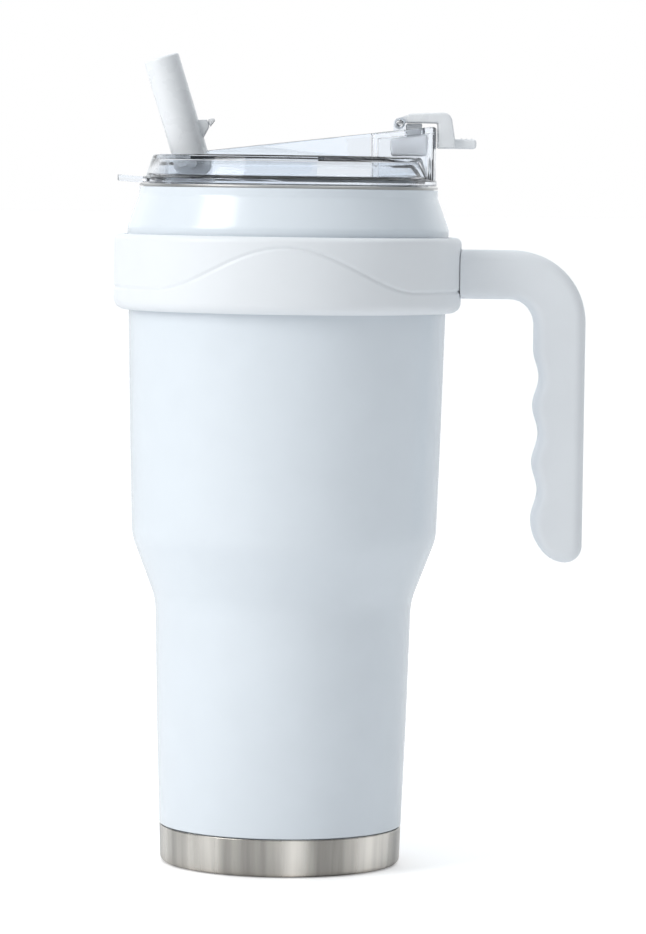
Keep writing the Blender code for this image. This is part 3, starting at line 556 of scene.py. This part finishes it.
def tumbler_liner():
    """The steel liner, with a rolled lip over the outer wall's edge."""
    inside = rounded(liner_path(0))
    inside.reverse()
    outside = rounded(liner_path(LINER_THICKNESS))
    lip = rounded(
        [
            inside[-1],
            (inside[-1][0], RIM_Z, 0.0006),
            (NECK_RADIUS, RIM_Z, 0.00035),
            (NECK_RADIUS, RIM_Z - LIP_THICKNESS),
            outside[0],
        ]
    )
    liner = turned("tumbler_liner", inside + lip[1:] + outside[1:], sharp_angle=50)
    place(liner, "tumbler", "liner_steel", liner_steel, "inner_liner")


def tumbler_base():
    """The bare steel base cup, with its recessed band and a rolled upper edge."""
    inner_radius = BASE_TOP_RADIUS - OUTER_THICKNESS
    slope = 2 * BASE_RECESS
    outline = rounded(
        [
            (0, 0),
            (BASE_PAD_RADIUS, 0, 0.0008),
            (BASE_PAD_RADIUS + slope, BASE_RECESS, 0.0008),
            (BASE_FOOT_INNER - slope, BASE_RECESS, 0.0008),
            (BASE_FOOT_INNER, 0, 0.0008),
            (BASE_RADIUS, 0, BASE_CORNER),
            (BASE_TOP_RADIUS, BASE_TOP_Z, 0.0003),
            (inner_radius, BASE_TOP_Z),
            (inner_radius, BASE_RECESS + BASE_PLATE),
            (BASE_PAD_RADIUS, BASE_RECESS + BASE_PLATE),
            (BASE_PAD_RADIUS - slope, BASE_PLATE),
            (0, BASE_PLATE),
        ]
    )
    base = turned("tumbler_base", outline)
    place(base, "tumbler", "brushed_steel_base", base_steel_painted_sheen, "base_cup")


def hidden_fittings():
    """The sealed bead and getter keep their CAD shape."""
    for node, material in (("vacuum_seal_bead", seal_glass), ("vacuum_getter", getter_steel)):
        obj = frame["nodes"][node]
        obj.data.materials.clear()
        obj.data.materials.append(material)


# -------------------------------------------------------------------- handle


def wave_height(angle):
    """The height of the band's wave line: a single smooth rise at the front and at the back."""
    for middle in (-math.pi / 2, math.pi / 2):
        away = abs((angle - middle + math.pi) % FULL_TURN - math.pi)
        if away < WAVE_HALF_ANGLE:
            swell = (1 + math.cos(math.pi * away / WAVE_HALF_ANGLE)) / 2
            return WAVE_BASE_Z + WAVE_HEIGHT * swell
    return WAVE_BASE_Z


def carve_wave(angle, radius, z):
    """Presses the wave line into the band's outer face."""
    if radius < RING_RADIUS - 0.0002:
        return radius, z
    away = abs(z - wave_height(angle)) / WAVE_HALF_WIDTH
    if away >= 1:
        return radius, z
    return radius - WAVE_DEPTH * (1 + math.cos(math.pi * away)) / 2, z


def handle_band():
    inner = RING_RADIUS - RING_WALL
    face = [(RING_RADIUS, RING_LOW_Z, RING_LOW_EDGE), (RING_RADIUS, RING_TOP_Z, RING_TOP_EDGE)]
    start, end = (inner, RING_LOW_Z), (inner, RING_TOP_Z)
    outline = finer(rounded([start, *face, end]), 0.0003)
    band = turned(
        "handle_band", outline, closed=True, segments=400, reshape=carve_wave, sharp_angle=50
    )
    place(band, "handle", "handle_plastic", handle_plastic, "handle_ring")


def band_sleeve():
    """The soft sleeve, with shallow grip ribs round its inner face."""
    rib_count, rib_height = 8, 0.00025
    outer = RING_RADIUS - RING_WALL - GAP
    height = SLEEVE_TOP_Z - SLEEVE_LOW_Z
    taper = (SHOULDER[0] - UPPER_MID[0]) / (SHOULDER[1] - UPPER_MID[1])
    foot = UPPER_MID[0] + taper * (SLEEVE_LOW_Z - UPPER_MID[1]) + GAP
    steps = 8 * rib_count
    inside = []
    for step in range(steps + 1):
        rise = height * step / steps
        wave = (1 - math.cos(FULL_TURN * rib_count * step / steps)) / 2
        inside.append((foot + taper * rise + rib_height * wave, SLEEVE_LOW_Z + rise))
    outline = inside + [(outer, SLEEVE_TOP_Z), (outer, SLEEVE_LOW_Z)]
    sleeve = turned("band_sleeve", outline, closed=True)
    place(sleeve, "handle", "soft_sleeve", sleeve_rubber, "ring_sleeve")


def finger_side():
    steps = 20 * FINGER_COUNT
    points = []
    for step in range(steps + 1):
        rise = step * FINGER_COUNT * FINGER_PITCH / steps
        wave = (1 - math.cos(FULL_TURN * rise / FINGER_PITCH)) / 2
        points.append((ARM_INNER_X + FINGER_DEPTH * wave, FINGER_LOW_Z + rise))
    return points


def arm_toe():
    width = ARM_OUTER_X - ARM_HEEL - ARM_INNER_X
    height = FINGER_LOW_Z - ARM_END_Z
    steps = 16
    points = []
    for step in range(1, steps):
        angle = math.pi / 2 * step / steps
        x = ARM_INNER_X + width * (1 - math.sin(angle))
        z = ARM_END_Z + height * (1 - math.cos(angle))
        points.append((x, z))
    return points


def handle_grip():
    """The J-shaped arm: waved grip, round edges and a root that follows the band."""
    root_x = RING_RADIUS - 0.0040
    outside = rounded(
        [
            (ARM_INNER_X, ARM_UNDER_Z),
            (root_x, ARM_UNDER_Z),
            (root_x, ARM_TOP_Z),
            (ARM_OUTER_X, ARM_TOP_Z, ARM_OUTER_BEND),
            (ARM_OUTER_X, ARM_END_Z, ARM_HEEL),
            (ARM_INNER_X, ARM_END_Z),
        ],
        steps=20,
    )[1:-1]
    inner_bend = corner_arc(
        (ARM_INNER_X, FINGER_LOW_Z),
        (ARM_INNER_X, ARM_UNDER_Z),
        (root_x, ARM_UNDER_Z),
        ARM_INNER_BEND,
        14,
    )
    outline = outside + arm_toe() + finger_side() + inner_bend
    grip = plate("handle_grip", outline, ARM_HALF_WIDTH)
    round_edges(grip, ARM_EDGE, 6, 50)
    below, above = (0, 0, RING_LOW_Z - 0.002), (0, 0, RING_TOP_Z + 0.002)
    cut(grip, rod("root_cutter", below, above, RING_RADIUS + GAP, segments=TURN_STEPS))
    smooth_shading(grip, 45)
    place(grip, "handle", "handle_plastic", handle_plastic, "handle_arm")


def arm_screw(number):
    """A pan-head screw with a cross recess and a threaded shank."""
    node = f"arm_screw_{number}"
    head_x, tip_x = low(node)[0], high(node)[0]
    z = (low(node)[2] + high(node)[2]) / 2
    neck_x = head_x + SCREW_HEAD_HEIGHT
    turns, pitch_steps = 9, 16
    profile = [(0, 0), (SCREW_HEAD_RADIUS, 0, 0.0006), (SCREW_HEAD_RADIUS, SCREW_HEAD_HEIGHT)]
    profile += [(SCREW_SHANK_RADIUS, SCREW_HEAD_HEIGHT)]
    outline = rounded(profile, steps=5)
    length = tip_x - neck_x
    for step in range(turns * 4 + 1):
        share = step / (turns * 4)
        ridge = 0.00022 if step % 4 in (0, 1) else 0.0
        rise = SCREW_HEAD_HEIGHT + 0.0001 + length * share * 0.97
        outline.append((SCREW_SHANK_RADIUS - ridge, rise))
    outline.append((0, SCREW_HEAD_HEIGHT + length))
    screw = turned(f"arm_screw_{number}_shape", outline, segments=3 * pitch_steps)
    for name, size in (("slot_a", (0.0026, 0.0006)), ("slot_b", (0.0006, 0.0026))):
        work = bmesh.new()
        bmesh.ops.create_cube(work, size=1.0)
        bmesh.ops.scale(work, vec=(*size, 0.0014), verts=work.verts)
        cut(screw, mesh_object(name, work))
    screw.data.transform(Matrix.Translation((head_x, 0, z)) @ Matrix.Rotation(math.pi / 2, 4, "Y"))
    smooth_shading(screw)
    place(screw, "handle", "screw_steel", screw_steel, node)


# ----------------------------------------------------------------------- lid


def ramp_top(x):
    return RAMP_START_Z + RAMP_SLOPE * (x - RAMP_START_X)


def lid_shell():
    flange_top = FLANGE_LOW_Z + FLANGE_THICKNESS
    outline = rounded(
        [
            (0, DECK_Z),
            (COLLAR_TOP_RADIUS, DECK_Z, 0.0012),
            (COLLAR_LOW_RADIUS, flange_top, 0.0006),
            (FLANGE_RADIUS, flange_top, 0.0007),
            (FLANGE_RADIUS, FLANGE_LOW_Z, 0.0004),
            (SKIRT_RADIUS, FLANGE_LOW_Z),
            (SKIRT_RADIUS, GROOVE_TOP_Z),
            (GROOVE_RADIUS, GROOVE_TOP_Z),
            (GROOVE_RADIUS, GROOVE_LOW_Z),
            (SKIRT_RADIUS, GROOVE_LOW_Z),
            (SKIRT_RADIUS, SKIRT_LOW_Z, 0.0006),
            (SKIRT_INNER, SKIRT_LOW_Z, 0.0006),
            (SKIRT_INNER, flange_top, 0.0004),
            (COLLAR_LOW_RADIUS - COLLAR_WALL, flange_top + 0.0002, 0.0002),
            (COLLAR_TOP_RADIUS - COLLAR_WALL, DECK_Z - DECK_THICKNESS, 0.0008),
            (0, DECK_Z - DECK_THICKNESS),
        ],
        steps=5,
    )
    return turned("lid_shell", outline)


def well_block():
    outline = [
        (WELL_START_X - WELL_WALL, WELL_FLOOR_Z - WELL_WALL),
        (WELL_BEND_X, WELL_FLOOR_Z - WELL_WALL),
        (WELL_END_X + WELL_WALL, WELL_END_Z - WELL_WALL),
        (WELL_END_X + WELL_WALL, DECK_Z - DECK_THICKNESS / 2),
        (WELL_START_X - WELL_WALL, DECK_Z - DECK_THICKNESS / 2),
    ]
    return plate("well_block", outline, CHANNEL_HALF_WIDTH + WELL_SIDE_WALL)


def well_cutter():
    outline = rounded(
        [
            (WELL_START_X, WELL_FLOOR_Z, 0.0015),
            (WELL_BEND_X, WELL_FLOOR_Z),
            (WELL_END_X, WELL_END_Z, 0.0020),
            (WELL_END_X, CAP_TOP_Z),
            (WELL_START_X, CAP_TOP_Z),
        ],
        closed=True,
        steps=5,
    )
    return plate("well_cutter", outline, CHANNEL_HALF_WIDTH)


def ramp_block():
    deck = DECK_Z - DECK_THICKNESS / 2
    end_x = TOWER_START_X + TOWER_WALL / 2
    outline = rounded(
        [
            (RAMP_START_X, deck),
            (end_x, deck),
            (end_x, ramp_top(end_x)),
            (RAMP_START_X, RAMP_START_Z, 0.0008),
        ],
        closed=True,
        steps=4,
    )
    block = plate("ramp_block", outline, RAMP_HALF_WIDTH)
    return round_edges(block, 0.0005, 2)


def channel_cutter():
    outline = rectangle(WELL_END_X - 0.001, CHANNEL_END_X - TOWER_WALL / 2, DECK_Z, CAP_TOP_Z)
    return plate("channel_cutter", outline, CHANNEL_HALF_WIDTH)


def tower_solid(name, start_x, radius, low_z, drop, half_width, edge):
    """A block under the ramp's line, with its +X side rounded about the cup's axis."""
    end_x = FLANGE_RADIUS + 0.002
    outline = [
        (start_x, low_z),
        (end_x, low_z),
        (end_x, ramp_top(end_x) - drop),
        (start_x, ramp_top(start_x) - drop),
    ]
    block = plate(name, outline, half_width)
    below, above = (0, 0, low_z - 0.005), (0, 0, CAP_TOP_Z)
    combine(block, rod(f"{name}_round", below, above, radius, segments=TURN_STEPS), "INTERSECT")
    return round_edges(block, edge, 3, 50)


def cap_lugs():
    half = (CAP_HALF_WIDTH - CAP_KNUCKLE_HALF_WIDTH - GAP) / 2
    lugs = []
    for side in (-1, 1):
        middle = side * (CAP_HALF_WIDTH - half)
        eye = rod(
            f"lug_eye_{side}",
            (CAP_PIVOT.x, middle - half, CAP_PIVOT.z),
            (CAP_PIVOT.x, middle + half, CAP_PIVOT.z),
            LUG_RADIUS,
        )
        foot_low = ramp_top(CAP_PIVOT.x) - TOWER_WALL / 2
        edges = (CAP_PIVOT.x - LUG_RADIUS, CAP_PIVOT.x + LUG_RADIUS)
        foot = plate(f"lug_foot_{side}", rectangle(*edges, foot_low, CAP_PIVOT.z), half, middle)
        lugs.append(add(eye, foot))
    return lugs


def lift_tab():
    outline = [
        (TAB_TIP_X, TAB_TIP_Z - TAB_THICKNESS / 2),
        (TAB_BEND_X, FLANGE_LOW_Z),
        (TAB_ROOT_X, FLANGE_LOW_Z),
        (TAB_ROOT_X, FLANGE_LOW_Z + FLANGE_THICKNESS),
        (TAB_BEND_X, FLANGE_LOW_Z + FLANGE_THICKNESS),
        (TAB_TIP_X, TAB_TIP_Z + TAB_THICKNESS / 2),
    ]
    tab = plate("lift_tab", outline, TAB_WIDTH / 2)
    below, above = (0, 0, FLANGE_LOW_Z - 0.01), (0, 0, DECK_Z)
    combine(tab, rod("tab_round", below, above, -TAB_TIP_X, segments=TURN_STEPS), "INTERSECT")
    return round_edges(tab, 0.0006, 3, 50)


def lid_clear():
    """The clear lid: deck, collar, well, ramp, sip tower, lugs, straw socket and lift tab."""
    lid = lid_shell()
    lid.name = "lid_clear"
    well_under_z = WELL_FLOOR_Z - WELL_WALL
    socket_bore = STRAW_RADIUS + GAP
    socket_top = (STRAW_X, 0, WELL_FLOOR_Z - WELL_WALL / 2)
    socket_low = (STRAW_X, 0, SOCKET_LOW_Z)
    tower = tower_solid(
        "tower", TOWER_START_X, TOWER_RADIUS, TOWER_LOW_Z, 0, TOWER_HALF_WIDTH, 0.0009
    )
    add(lid, lift_tab(), well_block(), ramp_block(), tower)
    add(lid, rod("socket", socket_low, socket_top, socket_bore + SOCKET_WALL), *cap_lugs())
    hollow = tower_solid(
        "tower_hollow",
        TOWER_START_X + TOWER_WALL,
        TOWER_RADIUS - TOWER_WALL,
        TOWER_LOW_Z + TOWER_WALL / 2,
        TOWER_WALL,
        TOWER_HALF_WIDTH - TOWER_WALL,
        0.0008,
    )
    reach = TRUNNION_HALF_LENGTH + GAP
    hole_top = (STRAW_X, 0, WELL_FLOOR_Z + 0.001)
    bore_top = (STRAW_X, 0, well_under_z)
    bore_low = (STRAW_X, 0, SOCKET_LOW_Z - 0.001)
    vent_start = VENT_HOLE_X - VENT_HOLE_LENGTH / 2
    vent = rectangle(vent_start, vent_start + VENT_HOLE_LENGTH, SKIRT_LOW_Z, DECK_Z)
    sip = rectangle(SIP_START_X, SIP_END_X, DECK_Z, CAP_TOP_Z)
    cut(lid, well_cutter(), channel_cutter(), hollow)
    cut(lid, round_edges(plate("sip_hole", sip, SIP_HALF_WIDTH), 0.0016, 4, 50))
    cut(lid, cross_rod("trunnions", SPOUT_PIVOT.x, SPOUT_PIVOT.z, reach, TRUNNION_RADIUS + GAP))
    cut(lid, cross_rod("pin_holes", CAP_PIVOT.x, CAP_PIVOT.z, 0.012, PIN_RADIUS + GAP))
    cut(lid, rod("socket_bore", bore_low, bore_top, socket_bore))
    cut(lid, rod("floor_hole", bore_low, hole_top, STRAW_BORE_RADIUS))
    cut(lid, plate("vent_hole", vent, VENT_HOLE_WIDTH / 2))
    smooth_shading(lid)
    place(lid, "lid", "clear_plastic", lid_plastic, "lid_body")


def seal_ring():
    """The silicone ring in the lid's groove, with two round sealing lips."""
    low_z, top_z = GROOVE_LOW_Z + GAP, GROOVE_TOP_Z - GAP
    inner = GROOVE_RADIUS + GAP
    lip = high("lid_seal")[0]
    valley = lip - 0.0009
    steps = 24
    outside = []
    for step in range(steps + 1):
        share = step / steps
        wave = abs(math.sin(FULL_TURN * share))
        outside.append((valley + (lip - valley) * wave, low_z + (top_z - low_z) * share))
    ring = turned("seal_ring", [(inner, low_z), *outside, (inner, top_z)], closed=True)
    place(ring, "lid", "silicone", seal_silicone, "lid_seal")


def spout_saddle():
    """The soft saddle under the spout's barrel."""
    start, end = low("spout_seat"), high("spout_seat")
    outline = [
        (start[0], start[2]),
        (end[0], start[2]),
        (end[0], SEAT_STEP_Z),
        (SEAT_STEP_X, SEAT_STEP_Z),
        (SEAT_STEP_X, end[2]),
        (start[0], end[2]),
    ]
    block = plate("spout_saddle", outline, end[1])
    round_edges(block, 0.0005, 2)
    hollow = BARREL_RADIUS + GAP
    cut(block, cross_rod("saddle_hollow", SPOUT_PIVOT.x, SPOUT_PIVOT.z, 0.009, hollow, 96))
    below, above = (STRAW_X, 0, WELL_FLOOR_Z - 0.001), (STRAW_X, 0, SPOUT_PIVOT.z)
    cut(block, rod("saddle_hole", below, above, STRAW_BORE_RADIUS))
    smooth_shading(block)
    place(block, "lid", "silicone", seal_silicone, "spout_seat")


def sip_bushing():
    """The soft bushing under the sip hole."""
    start, end = low("sip_seat"), high("sip_seat")
    drop = TOWER_WALL + GAP
    outline = [
        (start[0], start[2]),
        (end[0], start[2]),
        (end[0], ramp_top(end[0]) - drop),
        (start[0], ramp_top(start[0]) - drop),
    ]
    bushing = plate("sip_bushing", outline, end[1])
    round_edges(bushing, 0.0009, 3)
    opening = rectangle(SIP_START_X, SIP_END_X, start[2] - 0.001, CAP_TOP_Z)
    hole = plate("bushing_hole", opening, SIP_HALF_WIDTH)
    cut(bushing, round_edges(hole, 0.0014, 4, 50))
    smooth_shading(bushing)
    place(bushing, "lid", "silicone", seal_silicone, "sip_seat")


def cap_pin():
    pin = cross_rod("cap_pin", CAP_PIVOT.x, CAP_PIVOT.z, PIN_HALF_LENGTH, PIN_RADIUS, 32)
    round_edges(pin, 0.0002, 2)
    smooth_shading(pin)
    place(pin, "lid", "pin_steel", pin_steel, "sip_cap_pin")


def sip_clip():
    """The white flip-open cap with its ribbed thumb tab."""
    section = rounded(
        [
            (CAP_PLATE_START_X, CAP_UNDER_Z),
            (CAP_LEG_INNER_X, CAP_UNDER_Z, 0.0006),
            (CAP_LEG_INNER_X, CAP_LOW_Z, 0.0006),
            (CAP_LEG_OUTER_X, CAP_LOW_Z),
            (CAP_LEG_OUTER_X, CAP_LOW_Z + THUMB_THICKNESS),
            (CAP_LEG_TOP_X, CAP_TOP_Z, CAP_CORNER),
            (CAP_PLATE_START_X, CAP_TOP_Z - CAP_TOP_SLOPE, 0.0010),
        ],
        closed=True,
    )
    clip = plate("sip_clip", section, CAP_HALF_WIDTH)
    thumb = rounded(
        [
            (CAP_LEG_OUTER_X - 0.002, CAP_LOW_Z),
            (THUMB_END_X, CAP_LOW_Z, 0.0009),
            (THUMB_END_X, CAP_LOW_Z + THUMB_THICKNESS, 0.0009),
            (CAP_LEG_OUTER_X - 0.002, CAP_LOW_Z + THUMB_THICKNESS),
        ],
        closed=True,
        steps=5,
    )
    web = [
        (CAP_PIVOT.x + CAP_KNUCKLE_RADIUS / 2, CAP_UNDER_Z),
        (CAP_PLATE_START_X + 0.001, CAP_UNDER_Z),
        (CAP_PLATE_START_X + 0.001, CAP_TOP_Z - 0.0008),
        (CAP_PIVOT.x - CAP_KNUCKLE_RADIUS * 0.7, CAP_PIVOT.z + CAP_KNUCKLE_RADIUS * 0.8),
    ]
    half = CAP_KNUCKLE_HALF_WIDTH
    round_edges(clip, 0.0007, 3, 50)
    tab = round_edges(plate("thumb_tab", thumb, THUMB_HALF_WIDTH), 0.0007, 3, 50)
    add(clip, tab, plate("cap_web", web, half))
    add(clip, cross_rod("knuckle", CAP_PIVOT.x, CAP_PIVOT.z, half, CAP_KNUCKLE_RADIUS))
    for index in range(3):
        x = CAP_LEG_OUTER_X + 0.0022 + 0.0016 * index
        rib_z = CAP_LOW_Z + THUMB_THICKNESS - 0.00005
        add(clip, cross_rod(f"thumb_rib_{index}", x, rib_z, THUMB_HALF_WIDTH * 0.75, 0.0003, 16))
    cut(clip, cross_rod("knuckle_bore", CAP_PIVOT.x, CAP_PIVOT.z, 0.010, PIN_RADIUS + GAP, 32))
    smooth_shading(clip)
    place(clip, "sip_cap", "white_plastic", gloss_plastic, "sip_cap")


def cap_stopper():
    """The silicone stopper under the cap, with rounded corners."""
    start, end = low("sip_plug"), high("sip_plug")
    taper = 0.0007
    outline = rounded(
        [
            (start[0] + taper / 3, start[2], 0.0006),
            (end[0] - taper, start[2], 0.0006),
            (end[0], end[2]),
            (start[0], end[2]),
        ],
        closed=True,
        steps=4,
    )
    stopper = round_edges(plate("cap_stopper", outline, end[1]), 0.0010, 3, 50)
    smooth_shading(stopper)
    place(stopper, "sip_cap", "silicone", seal_silicone, "sip_plug")


# --------------------------------------------------------------------- spout


def lean(obj):
    """Moves a piece modelled upright about the origin to the spout's pivot and lean."""
    obj.data.transform(Matrix.Translation(SPOUT_PIVOT) @ Matrix.Rotation(-SPOUT_LEAN, 4, "Y"))
    return obj


def oval_tube():
    """The spout's tube, slightly oval, with a soft outer edge at its mouth."""
    outline = rounded(
        [
            (0, 0),
            (SPOUT_HALF_DEPTH, 0),
            (SPOUT_HALF_DEPTH, SPOUT_LENGTH, 0.0009),
            (0, SPOUT_LENGTH),
        ],
        steps=6,
    )
    tube = turned("flip_spout", outline, segments=64)
    tube.data.transform(Matrix.Scale(SPOUT_HALF_WIDTH / SPOUT_HALF_DEPTH, 4, (0, 1, 0)))
    return tube


def flip_spout():
    """The white spout: oval tube, barrel, trunnions, fin and flared bore."""
    spout = oval_tube()
    fin_root = SPOUT_HALF_DEPTH - FIN_SINK
    fin = rounded(
        [
            (fin_root, FIN_LOW - FIN_SINK),
            (FIN_REACH, FIN_LOW + FIN_REACH - fin_root - FIN_SINK, 0.0003),
            (FIN_REACH, FIN_HIGH - FIN_SINK, 0.0003),
            (fin_root, FIN_HIGH),
        ],
        closed=True,
        steps=4,
    )
    barrel = round_edges(cross_rod("barrel", 0, 0, BARREL_HALF_WIDTH, BARREL_RADIUS, 96), 0.0005)
    add(spout, barrel, cross_rod("trunnions", 0, 0, TRUNNION_HALF_LENGTH, TRUNNION_RADIUS))
    add(spout, round_edges(plate("vent_fin", fin, FIN_HALF_WIDTH), 0.0004, 3, 50))
    mouth = SPOUT_LENGTH
    flare = rod(
        "bore_flare",
        (0, 0, mouth - 0.0007),
        (0, 0, mouth + 0.0003),
        SPOUT_BORE_RADIUS,
        SPOUT_BORE_RADIUS + 0.0010,
    )
    cut(spout, rod("spout_bore", (0, 0, -0.010), (0, 0, mouth + 0.002), SPOUT_BORE_RADIUS), flare)
    stem = (SPOUT_HALF_DEPTH + 0.0006, 0, VENT_PLUG_HEIGHT)
    stem_end = (FIN_REACH + 0.001, 0, VENT_PLUG_HEIGHT)
    cut(spout, rod("stem_hole", stem, stem_end, 0.0009, segments=24))
    smooth_shading(lean(spout))
    place(spout, "spout", "white_plastic", gloss_plastic, "straw_spout")


def vent_tip():
    """The soft wedge-shaped tip on the spout's fin, with its stem in the fin."""
    head_x = FIN_REACH + GAP
    outline = rounded(
        [
            (head_x, VENT_PLUG_HEIGHT - 0.0013),
            (VENT_PLUG_TIP, VENT_PLUG_HEIGHT + 0.0002, 0.0004),
            (VENT_PLUG_TIP - 0.0002, VENT_PLUG_HEIGHT + 0.0011, 0.0004),
            (head_x, VENT_PLUG_HEIGHT + 0.0013),
        ],
        closed=True,
        steps=4,
    )
    tip = round_edges(plate("vent_tip", outline, 0.0013), 0.0003, 3, 50)
    stem_start = (head_x - 0.0016, 0, VENT_PLUG_HEIGHT)
    stem_end = (head_x + 0.0003, 0, VENT_PLUG_HEIGHT)
    add(tip, rod("vent_stem", stem_start, stem_end, 0.0006, segments=24))
    smooth_shading(lean(tip))
    place(tip, "spout", "silicone", seal_silicone, "vent_plug")


def straw():
    """The straw, with rounded ends."""
    outline = rounded(
        [
            (STRAW_BORE_RADIUS, STRAW_LOW_Z, 0.0002),
            (STRAW_RADIUS, STRAW_LOW_Z, 0.0003),
            (STRAW_RADIUS, STRAW_TOP_Z, 0.0003),
            (STRAW_BORE_RADIUS, STRAW_TOP_Z, 0.0002),
        ],
        closed=True,
        steps=3,
    )
    tube = turned("straw", outline, closed=True, segments=48)
    tube.data.transform(Matrix.Translation((STRAW_X, 0, 0)))
    place(tube, "straw", "straw_plastic", straw_plastic, "straw_tube")


# --------------------------------------------------- floor, light and camera


def straight_rays(tree):
    """1 for the camera's rays and the rays through clear plastic, and 0 for the others."""
    seen = tree.nodes.new("ShaderNodeLightPath")
    either = tree.nodes.new("ShaderNodeMath")
    either.operation = "MAXIMUM"
    tree.links.new(seen.outputs["Is Camera Ray"], either.inputs[0])
    tree.links.new(seen.outputs["Is Transmission Ray"], either.inputs[1])
    return either.outputs["Value"]


def floor():
    """A white floor. It glows only where it is seen, so that it reads as white as the tent."""
    work = bmesh.new()
    bmesh.ops.create_grid(work, x_segments=1, y_segments=1, size=FLOOR_HALF_SIZE)
    plane = mesh_object("floor", work)
    material, shader = shader_material("floor_white", (0.9, 0.9, 0.9), 0.9)
    vary_colour(material, shader, noise(material, 2, 2), (0.89, 0.89, 0.895), (0.91, 0.91, 0.915))
    shader.inputs["Emission Color"].default_value = (1, 1, 1, 1)
    tree = material.node_tree
    glow = tree.nodes.new("ShaderNodeMath")
    glow.operation = "MULTIPLY"
    glow.inputs[1].default_value = FLOOR_GLOW
    tree.links.new(straight_rays(tree), glow.inputs[0])
    tree.links.new(glow.outputs["Value"], shader.inputs["Emission Strength"])
    plane.data.materials.append(material)
    plane.location.z = -FLOOR_DROP


def soft_light(name, place_at, size, power, colour, target):
    light = bpy.data.lights.new(name, "AREA")
    light.shape = "RECTANGLE"
    light.size, light.size_y = size
    light.energy = power
    light.color = colour
    obj = bpy.data.objects.new(name, light)
    obj.location = place_at
    aim = Vector(target) - Vector(place_at)
    obj.rotation_euler = aim.to_track_quat("-Z", "Y").to_euler()
    bpy.context.scene.collection.objects.link(obj)


def tent_wall(tree, value, wall_range, before):
    """Adds one wall of the light tent, which fades in with a part of the direction."""
    low_in, high_in, brightness = wall_range
    wall = tree.nodes.new("ShaderNodeMapRange")
    wall.interpolation_type = "SMOOTHSTEP"
    wall.inputs["From Min"].default_value = low_in
    wall.inputs["From Max"].default_value = high_in
    wall.inputs["To Max"].default_value = brightness
    tree.links.new(value, wall.inputs["Value"])
    plus = tree.nodes.new("ShaderNodeMath")
    plus.inputs[1].default_value = TENT_BASE
    tree.links.new(wall.outputs["Result"], plus.inputs[0])
    if before:
        tree.links.new(before, plus.inputs[1])
    return plus.outputs["Value"]


def studio():
    """A light tent with a white back and top, and one large soft key at the front left."""
    world = bpy.data.worlds.new("studio")
    bpy.context.scene.world = world
    world.use_nodes = True
    tree = world.node_tree
    tree.nodes.clear()
    tent = tree.nodes.new("ShaderNodeBackground")
    tent.inputs["Color"].default_value = (0.95, 0.98, 1.0, 1)
    direction = tree.nodes.new("ShaderNodeTexCoord")
    split = tree.nodes.new("ShaderNodeSeparateXYZ")
    tree.links.new(direction.outputs["Generated"], split.inputs["Vector"])
    total = tent_wall(tree, split.outputs["Y"], BACK_WALL, None)
    total = tent_wall(tree, split.outputs["Z"], TOP_WALL, total)
    tree.links.new(total, tent.inputs["Strength"])
    white = tree.nodes.new("ShaderNodeBackground")
    blend = tree.nodes.new("ShaderNodeMixShader")
    out = tree.nodes.new("ShaderNodeOutputWorld")
    tree.links.new(straight_rays(tree), blend.inputs["Fac"])
    tree.links.new(tent.outputs["Background"], blend.inputs[1])
    tree.links.new(white.outputs["Background"], blend.inputs[2])
    tree.links.new(blend.outputs["Shader"], out.inputs["Surface"])
    white.inputs["Color"].default_value = (1, 1, 1, 1)
    soft_light("key", KEY_PLACE, KEY_SIZE, KEY_POWER, KEY_COLOUR, KEY_AIM)
    bpy.context.scene.view_settings.view_transform = "Standard"


def camera():
    """A long lens at the height of the rim, a little tilted down and rolled."""
    data = bpy.data.cameras.new("camera")
    data.lens = LENS
    data.sensor_width = SENSOR_WIDTH
    data.clip_start, data.clip_end = 0.05, 100
    obj = bpy.data.objects.new("camera", data)
    obj.location = (EYE_X, -EYE_DISTANCE, EYE_Z)
    aim = Vector((EYE_X, 0, AIM_Z)) - obj.location
    roll = Matrix.Rotation(CAMERA_ROLL, 4, "Z")
    obj.matrix_world = (
        Matrix.Translation(obj.location) @ aim.to_track_quat("-Z", "Y").to_matrix().to_4x4() @ roll
    )
    bpy.context.scene.collection.objects.link(obj)
    bpy.context.scene.camera = obj


def main():
    camera()
    tumbler_wall()
    tumbler_liner()
    tumbler_base()
    hidden_fittings()
    handle_band()
    band_sleeve()
    handle_grip()
    arm_screw(1)
    arm_screw(2)
    lid_clear()
    seal_ring()
    spout_saddle()
    sip_bushing()
    cap_pin()
    sip_clip()
    cap_stopper()
    flip_spout()
    vent_tip()
    straw()
    floor()
    studio()


main()
